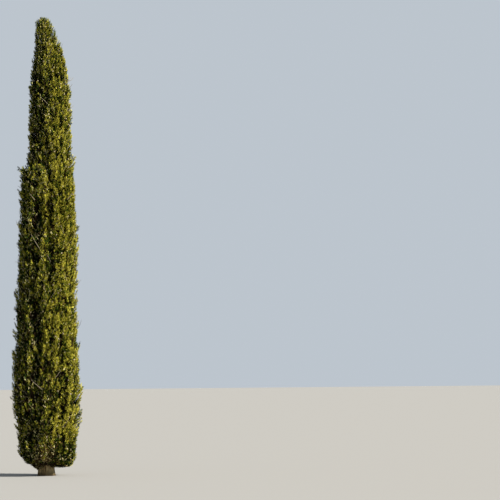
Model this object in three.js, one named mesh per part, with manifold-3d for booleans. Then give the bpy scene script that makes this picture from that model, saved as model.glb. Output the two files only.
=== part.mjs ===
// Italian cypress of the narrow, upright kind, 9.5 m tall, in millimetres with +Z up.
// One trunk runs from a flat cut at ground level to its tip inside the crown. Seven low boughs leave it under
// the crown, and upright masses of foliage stand round it in six tiers of seven, with a leader on its tip.
// The origin is the centre of the flat cut. The trunk leans a little towards +X on its way up.
import * as THREE from 'three';
import { mergeVertices } from 'three/addons/utils/BufferGeometryUtils.js';
import Module from 'manifold-3d';

const { Manifold, Mesh: SolidMesh } = await (async () => {
  const library = await Module();
  library.setup();
  return library;
})();

// Driving dimensions of the whole tree
const TREE_HEIGHT = 9500;
const TRUNK = { tipHeight: 8960, groundRadius: 164, tipRadius: 12, taper: 0.92, sides: 12, rings: 12 };
const ROOT_FLARE = { spread: 24, height: 120, buttresses: 5, depth: 0.35 };

// The crown's outline: a bowl at the foot, a body with swellings and waists, and a blunt rounded tip
const BOWL_LEFT = { radius: 612, rim: 620, depth: 470, power: 2 };
const BOWL_RIGHT = { radius: 672, rim: 560, depth: 460, power: 3 };
const BODY_CHANGES = [
  { from: 500, to: 1700, by: 90 },
  { from: 2000, to: 4200, by: -92 },
  { from: 4200, to: 5900, by: -22 },
  { from: 5950, to: 6750, by: -156 },
];
const TIP = { radius: 438, length: 1560 };
const UNEVEN = 0.035;

// The trunk's line seen from above: it drifts sideways between these heights
const LEAN = [
  { from: 3000, to: 6600, x: 78, y: -30 },
  { from: 8450, to: 9450, x: -100, y: 20 },
];

// Foliage grows outwards and upwards: at radius r a layer lies steepness x r above its height at the trunk
const LAYER = { foot: 0.15, body: 1.5, top: 0.4, from: 150, to: 1900, topFrom: 7600, topTo: 8900 };

// The tiers of masses: each is a flame between four corners, shared with its neighbours
const MASSES_PER_TIER = 7;
const LEVELS = [105, 820, 2050, 3330, 4620, 5920, 7280, 8940];
const TIERS = LEVELS.length - 2;
const CORNER_SHIFT = { turn: 0.17, height: 0.16 };
const EDGE_CURL = 0.5;

// A mass: a core with upright plumes for ridges, and the stem that joins it to the trunk or to its bough.
// The section has a corner on each plume, in each cleft and at each side, and two at its back.
const SECTION = [
  { across: -1, depth: 0.66 }, { across: -0.68, depth: 0.92 }, { across: -0.36, depth: 0.68 },
  { across: 0.02, depth: 1 }, { across: 0.38, depth: 0.7 }, { across: 0.7, depth: 0.94 },
  { across: 1, depth: 0.68 }, { across: 0.6, depth: 0 }, { across: -0.6, depth: 0 },
];
const PLUMES = [1, 3, 5];
const BANDS = {
  first: [0, 0.01, 0.11, 0.3, 0.55, 0.82, 1],
  middle: [0, 0.08, 0.3, 0.53, 0.75, 0.93, 1],
  last: [0, 0.08, 0.32, 0.56, 0.8, 0.985, 1],
};
const CORE = { inner: 0.36, innerHigh: 0.2, outer: 0.96, tipInner: 0.56, tipOuter: 0.94, gap: 7 };
const CORE_FOOT = 0.95;
const RIDGES = { roughness: 0.09, lift: 0.08 };
const LIMB = { footRadius: 30, ofTrunk: 0.36, tipRadius: 15, sides: 4, climb: 2.3, depth: 0.62 };
const CLEAR = { ofTrunk: 0.35, atJoint: 0.3 };
const BOUGH = { footRadius: 38, tipRadius: 27, sides: 7, rings: 2, footHeight: 225, rise: 560, showing: 45 };

// Twigs and sprays: each plume's head bears a twig with a spray, and more sprays stand out of the core
const TWIG = { radius: 11, tipRadius: 6, length: 170 };
const SPRAY = { length: 350, width: 0.36, thickness: 0.075, sink: 40 };
const SPRAY_GROWTH = { lean: 0.4, topLean: 0.1, sway: 0.35, roll: 0.9 };
const SPRAYS_PER_MASS = 7;
const ROOM = { toNeighbour: 6, betweenCores: 2, beyondCrown: 38, beyondTop: 53 };

// The leader: one ridged core on the trunk's tip, with its sprays
const LEADER = { foot: 8985, top: 9455, stemTop: 9090, share: 0.9, cleft: 0.82, sides: 10 };
const LEADER_SPRAYS = { count: 14, size: 0.85, crest: 108 };
const LEADER_BANDS = [0, 0.04, 0.17, 0.42, 0.72, 1];
const GOLDEN = (Math.sqrt(5) - 1) / 2;

const BARK = { name: 'bark', color: 0x6b5a4a, roughness: 0.95 };
const LIMB_BARK = { name: 'limb_bark', color: 0x5f4f40, roughness: 0.95 };
const FOLIAGE = { name: 'foliage', color: 0x4a5320, roughness: 0.85 };

const mix = THREE.MathUtils.lerp;
const smooth = (from, to, value) => THREE.MathUtils.smoothstep(value, from, to);
const chance = (a, b, c = 0) => {
  const wave = Math.sin(12.9898 * a + 78.233 * b + 37.719 * c) * 43758.5453;
  return wave - Math.floor(wave);
};

/** Sideways drift of the trunk's line at a height. */
function axisAt(height) {
  const axis = new THREE.Vector2();
  for (const bend of LEAN) {
    axis.addScaledVector(new THREE.Vector2(bend.x, bend.y), smooth(bend.from, bend.to, height));
  }
  return axis;
}

/** Radius of the crown's bowl at a height: it closes in towards the trunk below its rim. */
function bowlRadius(bowl, height) {
  const below = Math.min(1, Math.max(0, (bowl.rim - height) / bowl.depth));
  return bowl.radius * Math.sqrt(1 - Math.pow(below, bowl.power));
}

/** Radius of the crown at a turn and height: the least of the bowl, the body and the tip. */
function crownRadius(turn, height) {
  const right = smooth(-1, 1, Math.cos(turn));
  const bowl = mix(bowlRadius(BOWL_LEFT, height), bowlRadius(BOWL_RIGHT, height), right);
  const footRight = mix(BOWL_RIGHT.radius, BOWL_LEFT.radius, smooth(700, 1700, height));
  const foot = mix(BOWL_LEFT.radius, footRight, right);
  const body = BODY_CHANGES.reduce((sum, c) => sum + c.by * smooth(c.from, c.to, height), foot);
  const tip = TIP.radius * Math.sqrt(Math.max(0, TREE_HEIGHT - height) / TIP.length);
  return Math.min(height < BOWL_LEFT.rim ? bowl : body, tip);
}

/** Share by which the crown swells or shrinks round its girth. */
const unevenness = (turn, height) =>
  1 + UNEVEN * (Math.sin(3 * turn + height / 620) * 0.6 + Math.sin(5 * turn - height / 410) * 0.4);

/** How steeply a layer of growth rises outwards: flat at the foot and the top of the tree. */
function steepnessAt(layer) {
  const upper = mix(LAYER.body, LAYER.top, smooth(LAYER.topFrom, LAYER.topTo, layer));
  return mix(LAYER.foot, upper, smooth(LAYER.from, LAYER.to, layer));
}

/** Outer radius of the crown where a layer of growth meets its surface. */
function reachAt(turn, layer) {
  const steep = steepnessAt(layer);
  let radius = 300;
  for (let pass = 0; pass < 24; pass++) {
    const height = layer + steep * radius;
    radius = mix(radius, crownRadius(turn, height) * unevenness(turn, height), 0.6);
  }
  return radius;
}

/** Point of the tree at a turn about the trunk, on a layer of growth, at a radius from the trunk's line. */
function placeAt(turn, layer, radius) {
  const height = layer + steepnessAt(layer) * radius;
  const axis = axisAt(height);
  return new THREE.Vector3(axis.x + radius * Math.cos(turn), axis.y + radius * Math.sin(turn), height);
}

/** The turn, layer and radius of a point: placeAt run backwards. */
function coordinatesOf(point) {
  const axis = axisAt(point.z);
  const radius = Math.hypot(point.x - axis.x, point.y - axis.y);
  let layer = point.z;
  for (let pass = 0; pass < 20; pass++) layer = mix(layer, point.z - steepnessAt(layer) * radius, 0.8);
  return { turn: Math.atan2(point.y - axis.y, point.x - axis.x), layer, radius };
}

/** Moves the vertices of a three.js geometry, and returns it with its shared vertices merged, as a solid. */
function solidOf(geometry, place = null) {
  const at = geometry.getAttribute('position');
  const point = new THREE.Vector3();
  for (let i = 0; place && i < at.count; i++) {
    place(point.fromBufferAttribute(at, i));
    at.setXYZ(i, point.x, point.y, point.z);
  }
  const bare = new THREE.BufferGeometry().setAttribute('position', at).setIndex(geometry.index);
  const merged = mergeVertices(bare, 1e-3);
  return new Manifold(new SolidMesh({
    numProp: 3,
    vertProperties: merged.getAttribute('position').array,
    triVerts: new Uint32Array(merged.index.array),
  }));
}

/** A solid's triangles as a geometry about its own origin. */
function geometryOf(solid, origin) {
  const mesh = solid.getMesh();
  const positions = new Float32Array(mesh.numVert * 3);
  for (let i = 0; i < mesh.numVert; i++) {
    positions.set(mesh.vertProperties.subarray(i * mesh.numProp, i * mesh.numProp + 3), i * 3);
  }
  const geometry = new THREE.BufferGeometry();
  geometry.setAttribute('position', new THREE.BufferAttribute(positions, 3));
  geometry.setIndex(new THREE.BufferAttribute(mesh.triVerts, 1));
  geometry.translate(-origin.x, -origin.y, -origin.z);
  geometry.computeVertexNormals();
  return geometry;
}

/** A named mesh that stands at its own origin, such as the foot of its stem. */
function nodeOf(name, solid, finish, origin) {
  const mesh = new THREE.Mesh(geometryOf(solid, origin), new THREE.MeshStandardMaterial(finish));
  mesh.name = name;
  mesh.position.copy(origin);
  return mesh;
}

/** The trunk's radius at a height, without its root flare. */
const trunkRadius = (height) =>
  mix(TRUNK.tipRadius, TRUNK.groundRadius, Math.pow(Math.max(0, 1 - height / TRUNK.tipHeight), TRUNK.taper));

/** The trunk, or the space it takes with a clearance round it: rings crowd towards the ground. */
function trunkSolid(clearance = 0) {
  const cylinder = new THREE.CylinderGeometry(1, 1, 1, TRUNK.sides, TRUNK.rings).rotateX(Math.PI / 2);
  return solidOf(cylinder, (p) => {
    const share = p.z + 0.5;
    const height = TRUNK.tipHeight * Math.pow(share, 1.9);
    const turn = Math.atan2(p.y, p.x);
    const flare = Math.exp(-height / ROOT_FLARE.height);
    const buttress = 1 + ROOT_FLARE.depth * Math.cos(ROOT_FLARE.buttresses * turn);
    const girth = trunkRadius(height) + ROOT_FLARE.spread * flare * buttress + clearance;
    const radius = Math.hypot(p.x, p.y) * girth;
    const axis = axisAt(height);
    p.set(axis.x + radius * Math.cos(turn), axis.y + radius * Math.sin(turn), height);
  });
}

/** A tapering limb along a curve, from one share of it to another, with flat ends square to it. */
function limbSolid(curve, from, to, footRadius, tipRadius, sides, rings) {
  const cylinder = new THREE.CylinderGeometry(1, 1, 1, sides, rings).rotateX(Math.PI / 2);
  const ahead = curve.getPoint(1).sub(curve.getPoint(0));
  const level = new THREE.Vector3(-ahead.y, ahead.x + 1e-3, 0);
  return solidOf(cylinder, (p) => {
    const share = p.z + 0.5;
    const along = mix(from, to, share);
    const centre = curve.getPoint(along);
    const tangent = curve.getTangent(along);
    const across = level.clone().cross(tangent).normalize();
    const beside = tangent.clone().cross(across);
    const radius = mix(footRadius, tipRadius, share);
    const offset = across.multiplyScalar(p.x * radius).addScaledVector(beside, p.y * radius);
    p.copy(centre).add(offset);
  });
}

/** A corner where masses meet: a turn about the trunk and a layer, shifted a little by chance. */
function cornerAt(level, column) {
  const own = ((column % MASSES_PER_TIER) + MASSES_PER_TIER) % MASSES_PER_TIER;
  const pitch = (2 * Math.PI) / MASSES_PER_TIER;
  const turnShift = (chance(level, own, 1) - 0.5) * 2 * CORNER_SHIFT.turn;
  const inside = level > 0 && level <= TIERS;
  const heightShift = inside ? (chance(level, own, 2) - 0.5) * 2 * CORNER_SHIFT.height : 0;
  const spacing = inside ? (LEVELS[level + 1] - LEVELS[level - 1]) / 2 : 0;
  const turn = pitch * (column + (level % 2) / 2 + turnShift);
  return { turn, layer: LEVELS[level] + spacing * heightShift };
}

/** The space of one mass: its four corners, and the turn of its left and right edge on each layer. */
function cellOf(tier, column) {
  const centreColumn = column + (tier % 2);
  const left = cornerAt(tier, column);
  const right = cornerAt(tier, column + 1);
  const bottom = cornerAt(tier - 1, centreColumn);
  const top = cornerAt(tier + 1, centreColumn);
  const isFirst = tier === 1;
  const isLast = tier === TIERS;
  const edge = (side, layer) => {
    const [lower, upper] = layer < side.layer ? [bottom, side] : [side, top];
    if ((isFirst && lower === bottom) || (isLast && upper === top)) return side.turn;
    const share = THREE.MathUtils.clamp((layer - lower.layer) / (upper.layer - lower.layer), 0, 1);
    return mix(lower.turn, upper.turn, mix(share, smooth(0, 1, share), EDGE_CURL));
  };
  return {
    tier, column, isFirst, isLast,
    seed: tier * 11 + column,
    bottomLayer: isFirst ? LEVELS[0] : bottom.layer,
    topLayer: isLast ? LEVELS[TIERS + 1] : top.layer,
    edges: (layer) => [edge(left, layer), edge(right, layer)],
  };
}

/** Turn of the point that lies a share, -1 to 1, of the way across a mass on a layer. */
function turnAcross(cell, layer, across, gap, radius) {
  const [left, right] = cell.edges(layer);
  const half = (right - left) / 2;
  const free = Math.max(half - gap / radius, half * 0.2);
  return (left + right) / 2 + across * free;
}

/** How full a mass is on a layer: 1 where it is widest, and near 0 at its tips. */
function fullness(cell, layer) {
  const [left, right] = cell.edges(layer);
  return THREE.MathUtils.clamp((right - left) / ((2 * Math.PI) / MASSES_PER_TIER), 0, 1);
}

/** The section's corner at a place round it, which may lie between two corners. */
function sectionAt(place) {
  const count = SECTION.length;
  const from = SECTION[((Math.floor(place) % count) + count) % count];
  const to = SECTION[((Math.ceil(place) % count) + count) % count];
  const share = place - Math.floor(place);
  return { across: mix(from.across, to.across, share), depth: mix(from.depth, to.depth, share) };
}

/** The core of a mass: at() gives its surface at a share of its length and a place round its section. */
function coreOf(cell, gap) {
  const length = cell.topLayer - cell.bottomLayer;
  const low = cell.bottomLayer + (cell.isFirst ? 20 : 0.01 * length);
  const high = cell.topLayer - (cell.isLast ? 20 : 0.03 * length);
  const at = (share, place, scale = 1) => {
    const corner = sectionAt(place);
    const isEnd = share === 0 || share === 1;
    const lift = isEnd ? 0 : RIDGES.lift * length * (corner.depth - 0.75) * share;
    const layer = mix(low, high, share) + lift;
    const full = Math.sqrt(fullness(cell, layer));
    const breadth = cell.isFirst ? mix(CORE_FOOT, 1, smooth(0, 0.15, share)) : 1;
    const reach = reachAt(turnAcross(cell, layer, corner.across * 0.6, 0, 1), layer);
    const deep = mix(CORE.inner, CORE.innerHigh, smooth(3000, 6500, layer));
    const inner = reach * mix(CORE.tipInner, deep, full * breadth);
    const outer = reach * mix(CORE.tipOuter, CORE.outer, full) * mix(0.93, 1, smooth(0, 0.2, share));
    const dice = chance(cell.seed, Math.round(share * 12), Math.round(corner.across * 9));
    const rough = RIDGES.roughness * (2 * dice - 1) * Math.min(1, corner.depth * 3);
    const depth = isEnd ? 0.55 : corner.depth + rough;
    const radius = mix((inner + outer) / 2, mix(inner, outer, depth), scale);
    const across = isEnd ? 0 : corner.across * breadth;
    return placeAt(turnAcross(cell, layer, across, gap, radius), layer, radius);
  };
  const bands = cell.isFirst ? BANDS.first : cell.isLast ? BANDS.last : BANDS.middle;
  return { at, bands, seed: cell.seed };
}

/** A core as a solid: a sphere's rings, each drawn out to the section. */
function coreSolid(core, corners) {
  const rings = core.bands.length - 1;
  const sphere = new THREE.SphereGeometry(1, corners, rings).rotateX(Math.PI / 2);
  return solidOf(sphere, (p) => {
    const band = Math.round((1 - Math.acos(THREE.MathUtils.clamp(p.z, -1, 1)) / Math.PI) * rings);
    const place = Math.floor((Math.atan2(p.y, p.x) / (2 * Math.PI) + 1) * corners + 0.25) % corners;
    p.copy(core.at(core.bands[band], place));
  });
}

/** The line that a mass's limb follows: out of the trunk, steeply up, and into the middle of the core. */
function limbCurve(cell) {
  const layer = mix(cell.bottomLayer, cell.topLayer, cell.isFirst ? 0.3 : 0.4);
  const turn = turnAcross(cell, layer, 0, 0, 1);
  const reach = reachAt(turn, layer);
  const end = placeAt(turn, layer, reach * LIMB.depth);
  const climb = cell.isFirst ? BOUGH.rise : LIMB.climb * reach * (LIMB.depth - 0.2);
  const footHeight = cell.isFirst ? BOUGH.footHeight + 60 * chance(cell.seed, 5) : end.z - climb;
  const axis = axisAt(footHeight);
  const foot = new THREE.Vector3(axis.x, axis.y, footHeight);
  const bend = new THREE.Vector3().lerpVectors(foot, end, 0.5);
  bend.z -= 0.06 * climb;
  return new THREE.QuadraticBezierCurve3(foot, bend, end);
}

/** The points of a spray: a toothed blade's outline, on a stalk or not, and the middle of its faces. */
function sprayPoints(root, along, side, length, stalk = 0) {
  const width = SPRAY.width * length;
  const normal = side.clone().cross(along);
  const base = root.clone().addScaledVector(along, stalk);
  const at = (forward, sideways, outward = 0) =>
    base.clone().addScaledVector(along, forward * length)
      .addScaledVector(side, sideways * width).addScaledVector(normal, outward * length);
  const foot = stalk ? [at(0.04, 0.1), root.clone(), at(0.04, -0.1)] : [root.clone()];
  return [
    ...foot, at(0.62, -0.5), at(0.56, -0.19), at(1, 0), at(0.6, 0.2), at(0.74, 0.46),
    at(0.42, 0, SPRAY.thickness / 2), at(0.42, 0, -SPRAY.thickness / 2),
  ];
}

/** A spray as a solid: its outline joined to the middle of each face. */
function spraySolid(points) {
  const rim = points.length - 2;
  const faces = [];
  for (let i = 0; i < rim; i++) {
    const next = (i + 1) % rim;
    faces.push(i, next, rim, next, i, rim + 1);
  }
  const geometry = new THREE.BufferGeometry().setFromPoints(points).setIndex(faces);
  const solid = solidOf(geometry);
  return solid.volume() > 0 ? solid : solidOf(geometry.setIndex(faces.reverse()));
}

/** True if every point of a twig or spray keeps to its mass's space and to the crown's reach. */
function keepsTo(cell, points) {
  return points.every((point) => {
    const { turn, layer, radius } = coordinatesOf(point);
    if (layer < cell.bottomLayer + ROOM.toNeighbour || layer > cell.topLayer - ROOM.toNeighbour) return false;
    const [left, right] = cell.edges(layer);
    const middle = (left + right) / 2;
    const off = Math.abs(Math.atan2(Math.sin(turn - middle), Math.cos(turn - middle)));
    if (off > (right - left) / 2 - ROOM.toNeighbour / radius) return false;
    return radius < reachAt(turn, layer) + ROOM.beyondCrown;
  });
}

/** Directions in which a spray grows at a height: along it, leaning outwards, and across its flat. */
function sprayDirections(height, outward, seed) {
  const up = new THREE.Vector3(0, 0, 1);
  const out = outward.clone().setZ(0).normalize();
  const round = up.clone().cross(out);
  const lean = mix(SPRAY_GROWTH.lean, SPRAY_GROWTH.topLean, smooth(LAYER.topFrom, LAYER.topTo, height));
  const along = up.clone().addScaledVector(out, lean)
    .addScaledVector(round, (chance(seed, 1) - 0.5) * SPRAY_GROWTH.sway).normalize();
  const roll = (chance(seed, 2) - 0.5) * 2 * SPRAY_GROWTH.roll;
  return { along, side: along.clone().cross(out).normalize().applyAxisAngle(along, roll) };
}

/** The spray that grows from a core at a place on its face: smaller, or none, where keeps() refuses it. */
function faceSpray(core, share, place, size, keeps) {
  const inside = core.at(share, place, 0);
  const outward = core.at(share, place).sub(inside);
  const root = inside.clone().addScaledVector(outward, 1 - SPRAY.sink / outward.length());
  const { along, side } = sprayDirections(root.z, outward, core.seed + share);
  for (const scale of [1, 0.82, 0.64]) {
    const points = sprayPoints(root, along, side, SPRAY.length * size * scale);
    if (keeps(points)) return [spraySolid(points)];
  }
  return [];
}

/** The spray at the head of a plume: on a twig that goes on from the middle one, stalked on the others. */
function headSpray(core, share, place, size, isMiddle, keeps) {
  const root = core.at(share, place).lerp(core.at(share, place, 0), 0.5);
  const outward = root.clone().sub(core.at(share, SECTION.length - 1.5));
  const { along, side } = sprayDirections(root.z, outward, core.seed + place);
  for (const scale of [1, 0.8, 0.6]) {
    const reach = TWIG.length * size * scale;
    const twig = new THREE.LineCurve3(root, root.clone().addScaledVector(along, reach));
    const foot = isMiddle ? twig.getPoint(0.5) : root;
    const stalk = isMiddle ? 0 : reach * 0.5;
    const points = sprayPoints(foot, along, side, SPRAY.length * size * scale * 0.85, stalk);
    if (!keeps(points)) continue;
    if (!isMiddle) return [spraySolid(points)];
    return [limbSolid(twig, 0, 1, TWIG.radius * size, TWIG.tipRadius * size, 3, 1), spraySolid(points)];
  }
  return [];
}

/** The sprays of a mass: one on a twig at the head of each plume, the others by the golden ratio. */
function massSprays(core, size, keeps) {
  const made = [];
  PLUMES.forEach((place, index) => {
    const head = mix(index === 1 ? 0.86 : 0.66, index === 1 ? 0.9 : 0.78, chance(core.seed, index, 9));
    made.push(...headSpray(core, head, place, size, index === 1, keeps));
  });
  for (let i = 0; i < SPRAYS_PER_MASS; i++) {
    const share = mix(0.08, 0.7, (i + 0.5 + 0.5 * (chance(core.seed, i, 3) - 0.5)) / SPRAYS_PER_MASS);
    const place = 0.7 + 4.6 * ((i * GOLDEN + chance(core.seed, 4)) % 1);
    made.push(...faceSpray(core, share, place, size * mix(0.9, 1.15, chance(core.seed, i, 5)), keeps));
  }
  return made;
}

/** Joins solids into one, and drops any scrap that touches nothing. */
const joined = (solids) => largest(Manifold.union(solids).simplify(2));

/** The largest body of a solid. */
function largest(solid) {
  return solid.decompose().reduce((best, body) => (body.volume() > best.volume() ? body : best));
}

/** Distance from a point to a solid, or the given limit where it is farther. */
function distanceTo(solid, point, limit) {
  const probe = Manifold.tetrahedron().translate([point.x, point.y, point.z]);
  return solid.minGap(probe, limit);
}

/** Share of a bough's line at which it ends, a little outside its mass. */
function boughEnd(curve, core) {
  let share = 0.1;
  while (distanceTo(core, curve.getPoint(share), 2 * BOUGH.showing) > BOUGH.showing) share += 0.01;
  return share;
}

/** True if a solid stands clear of every other solid in a list, by at least the given room. */
function isClear(solid, others, room = ROOM.toNeighbour) {
  const box = solid.boundingBox();
  const isNear = (other) => {
    const far = other.boundingBox();
    return [0, 1, 2].every((i) => box.min[i] - room < far.max[i] && far.min[i] < box.max[i] + room);
  };
  return others.every((other) => !isNear(other) || solid.minGap(other, room) >= room);
}

/** The start of a mass: its stem and a core clear of the masses before it, and its bough if it has one. */
function massOf(cell, before, trunkSpace) {
  let gap = CORE.gap;
  let core = coreOf(cell, gap);
  while (!isClear(coreSolid(core, SECTION.length), before, ROOM.betweenCores)) {
    gap += CORE.gap / 2;
    core = coreOf(cell, gap);
  }
  const coreBody = coreSolid(core, SECTION.length);
  const curve = limbCurve(cell);
  let from = 0;
  let radius = Math.min(LIMB.footRadius, trunkRadius(curve.getPoint(0).z) * LIMB.ofTrunk);
  let bough = null;
  if (cell.isFirst) {
    from = boughEnd(curve, coreBody);
    radius = BOUGH.tipRadius;
    const limb = limbSolid(curve, 0, from, BOUGH.footRadius, BOUGH.tipRadius, BOUGH.sides, BOUGH.rings);
    bough = { solid: largest(limb.subtract(trunkSpace)), foot: curve.getPoint(0) };
    from += CLEAR.atJoint / curve.getLength();
  }
  const stem = limbSolid(curve, from, 1, radius, Math.min(LIMB.tipRadius, radius), LIMB.sides, 1);
  return { cell, core, bough, solid: joined([coreBody, stem]), foot: curve.getPoint(from) };
}

/** Grows a mass's sprays where they keep to its space, clear of the other solids, and cuts the trunk out. */
function growSprays(mass, others, trunkSpace) {
  const { cell } = mass;
  const size = mix(0.72, 1, smooth(260, 600, reachAt(0, (cell.bottomLayer + cell.topLayer) / 2)));
  const keeps = (points) => keepsTo(cell, points) && isClear(spraySolid(points), others);
  mass.solid = largest(joined([mass.solid, ...massSprays(mass.core, size, keeps)]).subtract(trunkSpace));
}

/** The leader: one blunt plume on the trunk's tip, ringed by sprays that stand clear of the other solids. */
function leaderNode(others) {
  const floor = LEVELS[TIERS + 1];
  const centreAt = (height) => new THREE.Vector3(axisAt(height).x, axisAt(height).y, height);
  const leader = {
    seed: 7,
    bands: LEADER_BANDS,
    at: (share, place, scale = 1) => {
      const height = mix(LEADER.foot, LEADER.top, share);
      const turn = (2 * Math.PI * place) / LEADER.sides;
      const overFloor = (height - floor) / LAYER.top - CORE.gap;
      const free = Math.min(overFloor, crownRadius(turn, height) * LEADER.share);
      const isEnd = share === 0 || share === 1;
      const ridge = Math.round(place) % 2 ? LEADER.cleft : 1;
      const rough = mix(0.93, 1, chance(Math.round(share * 12), Math.round(place)));
      const radius = isEnd ? 0 : scale * free * ridge * rough;
      return centreAt(height).add(new THREE.Vector3(radius * Math.cos(turn), radius * Math.sin(turn), 0));
    },
  };
  const tip = centreAt(TRUNK.tipHeight + CLEAR.atJoint);
  const stem = new THREE.LineCurve3(tip, tip.clone().setZ(LEADER.stemTop));
  const solids = [
    coreSolid(leader, LEADER.sides),
    limbSolid(stem, 0, 1, TRUNK.tipRadius, TRUNK.tipRadius, 6, 1),
  ];
  const keeps = (points) => points.every((point) => {
    const { turn, layer, radius } = coordinatesOf(point);
    if (point.z > TREE_HEIGHT || layer < floor + ROOM.toNeighbour) return false;
    return radius < reachAt(turn, layer) + ROOM.beyondTop;
  }) && isClear(spraySolid(points), others);
  for (let i = 0; i < LEADER_SPRAYS.count; i++) {
    const share = mix(0.1, 0.86, i / (LEADER_SPRAYS.count - 1));
    solids.push(...faceSpray(leader, share, LEADER.sides * GOLDEN * i, LEADER_SPRAYS.size, keeps));
  }
  const twig = new THREE.LineCurve3(centreAt(LEADER.top - 60), centreAt(LEADER.top + 10));
  const [up, side] = [new THREE.Vector3(0, 0, 1), new THREE.Vector3(1, 0, 0)];
  const crest = sprayPoints(centreAt(TREE_HEIGHT - LEADER_SPRAYS.crest), up, side, LEADER_SPRAYS.crest);
  solids.push(limbSolid(twig, 0, 1, TWIG.radius, TWIG.tipRadius, 3, 1), spraySolid(crest));
  return nodeOf('foliage_leader', joined(solids), FOLIAGE, tip);
}

const trunkSpace = trunkSolid(CLEAR.ofTrunk);
const masses = [];
for (let tier = 1; tier <= TIERS; tier++) {
  for (let column = 0; column < MASSES_PER_TIER; column++) {
    masses.push(massOf(cellOf(tier, column), masses.map((mass) => mass.solid), trunkSpace));
  }
}
const limbs = [trunkSpace, ...masses.filter((mass) => mass.bough).map((mass) => mass.bough.solid)];
for (const mass of masses) {
  const others = masses.filter((other) => other !== mass).map((other) => other.solid);
  growSprays(mass, [...limbs, ...others], trunkSpace);
}

const tree = new THREE.Group();
tree.add(nodeOf('trunk', trunkSolid(), BARK, new THREE.Vector3()));
for (const { cell, bough, solid, foot } of masses) {
  if (bough) tree.add(nodeOf(`bough_${cell.column + 1}`, bough.solid, LIMB_BARK, bough.foot));
  tree.add(nodeOf(`foliage_tier${cell.tier}_${cell.column + 1}`, solid, FOLIAGE, foot));
}
tree.add(leaderNode([...limbs, ...masses.map((mass) => mass.solid)]));

export default tree;
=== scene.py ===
"""Italian cypress, 9.5 m tall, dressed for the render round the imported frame.

The trunk and the low boughs get a mesh with the bark's relief. Each mass of foliage becomes limbs, twigs,
sprays of scale leaves and cones, which grow on from the trunk and boughs by the rule of the solids:
foliage grows outwards and upwards in layers, and each mass keeps to its own corner of turns and layers.
"""

import logging
import math
from dataclasses import dataclass, field, fields
from enum import Enum, IntEnum

import bpy
import numpy as np
from mathutils import Matrix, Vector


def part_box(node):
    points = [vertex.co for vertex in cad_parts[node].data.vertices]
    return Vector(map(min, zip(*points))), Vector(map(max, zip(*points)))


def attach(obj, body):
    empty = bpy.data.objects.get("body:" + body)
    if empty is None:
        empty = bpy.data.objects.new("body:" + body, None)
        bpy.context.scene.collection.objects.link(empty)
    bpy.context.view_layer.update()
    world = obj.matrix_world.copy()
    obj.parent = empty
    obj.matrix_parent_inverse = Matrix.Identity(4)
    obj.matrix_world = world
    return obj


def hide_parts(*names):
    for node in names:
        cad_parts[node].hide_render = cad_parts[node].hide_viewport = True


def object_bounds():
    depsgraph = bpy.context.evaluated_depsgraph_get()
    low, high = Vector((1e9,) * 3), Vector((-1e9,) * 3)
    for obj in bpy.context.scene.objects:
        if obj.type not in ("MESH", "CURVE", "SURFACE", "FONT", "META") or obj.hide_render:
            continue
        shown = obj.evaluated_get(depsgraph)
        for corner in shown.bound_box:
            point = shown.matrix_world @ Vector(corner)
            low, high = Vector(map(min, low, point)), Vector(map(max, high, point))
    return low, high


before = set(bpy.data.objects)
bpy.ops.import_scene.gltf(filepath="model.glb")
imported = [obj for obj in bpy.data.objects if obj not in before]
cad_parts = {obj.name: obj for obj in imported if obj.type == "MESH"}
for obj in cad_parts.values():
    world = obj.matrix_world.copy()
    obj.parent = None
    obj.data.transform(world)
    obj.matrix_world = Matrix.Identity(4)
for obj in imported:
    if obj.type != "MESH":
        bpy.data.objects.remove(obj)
CAD_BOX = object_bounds()

LOG = logging.getLogger("cypress")
Array = np.ndarray
Colour = tuple[float, float, float]
Chance = np.random.Generator
Material = bpy.types.Material
Tree = bpy.types.NodeTree
Socket = bpy.types.NodeSocket
UP = np.array([0.0, 0.0, 1.0])
BODY = "root"
FULL_TURN = 2.0 * math.pi
GOLDEN_TURN = math.pi * (3.0 - math.sqrt(5.0))


def mix(low: Array | float, high: Array | float, share: Array | float) -> Array | float:
    """The value that lies a share of the way from low to high."""
    return low + (high - low) * share


def smooth(low: float, high: float, value: Array | float) -> Array | float:
    """Smooth step from 0 at low to 1 at high: 3 t squared less 2 t cubed."""
    share = np.clip((value - low) / (high - low), 0.0, 1.0)
    return share * share * (3.0 - 2.0 * share)


def unit(vectors: Array) -> Array:
    """The vectors at length 1."""
    return vectors / np.maximum(np.linalg.norm(vectors, axis=-1, keepdims=True), 1e-12)


def compass(turn: Array) -> tuple[Array, Array]:
    """Level directions at turns about the trunk, outwards and round it, each (n, 3)."""
    x, y, zero = np.cos(turn), np.sin(turn), np.zeros_like(turn)
    return np.stack([x, y, zero], -1), np.stack([-y, x, zero], -1)


def near(turn: Array, middle: float, half: float) -> Array:
    """How near turns are to a middle, in units of pi: e to the power of less the squared distance."""
    return np.exp(-(((np.mod(turn, FULL_TURN) - middle * math.pi) / half) ** 2))


CHANCE_PACES = (12.9898, 78.233, 37.719)
CHANCE_SIZE = 43758.5453


def chance(a: float, b: float, c: float = 0.0) -> float:
    """A number from 0 to 1 that depends only on the given ones: the last places of a large sine.

    Args:
        a: First number.
        b: Second number.
        c: Third number.

    Returns:
        The number from 0 to 1.
    """
    first, second, third = CHANCE_PACES
    wave = math.sin(first * a + second * b + third * c) * CHANCE_SIZE
    return wave - math.floor(wave)


@dataclass(frozen=True)
class Bowl:
    """The foot of the crown on one side, which closes in towards the trunk below its rim."""

    radius: float
    rim: float
    depth: float
    power: float

    def at(self, height: Array) -> Array:
        """Radius at a height: R times the root of 1 less the share below the rim, to a power."""
        below = np.clip((self.rim - height) / self.depth, 0.0, 1.0)
        return self.radius * np.sqrt(1.0 - below**self.power)


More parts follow.
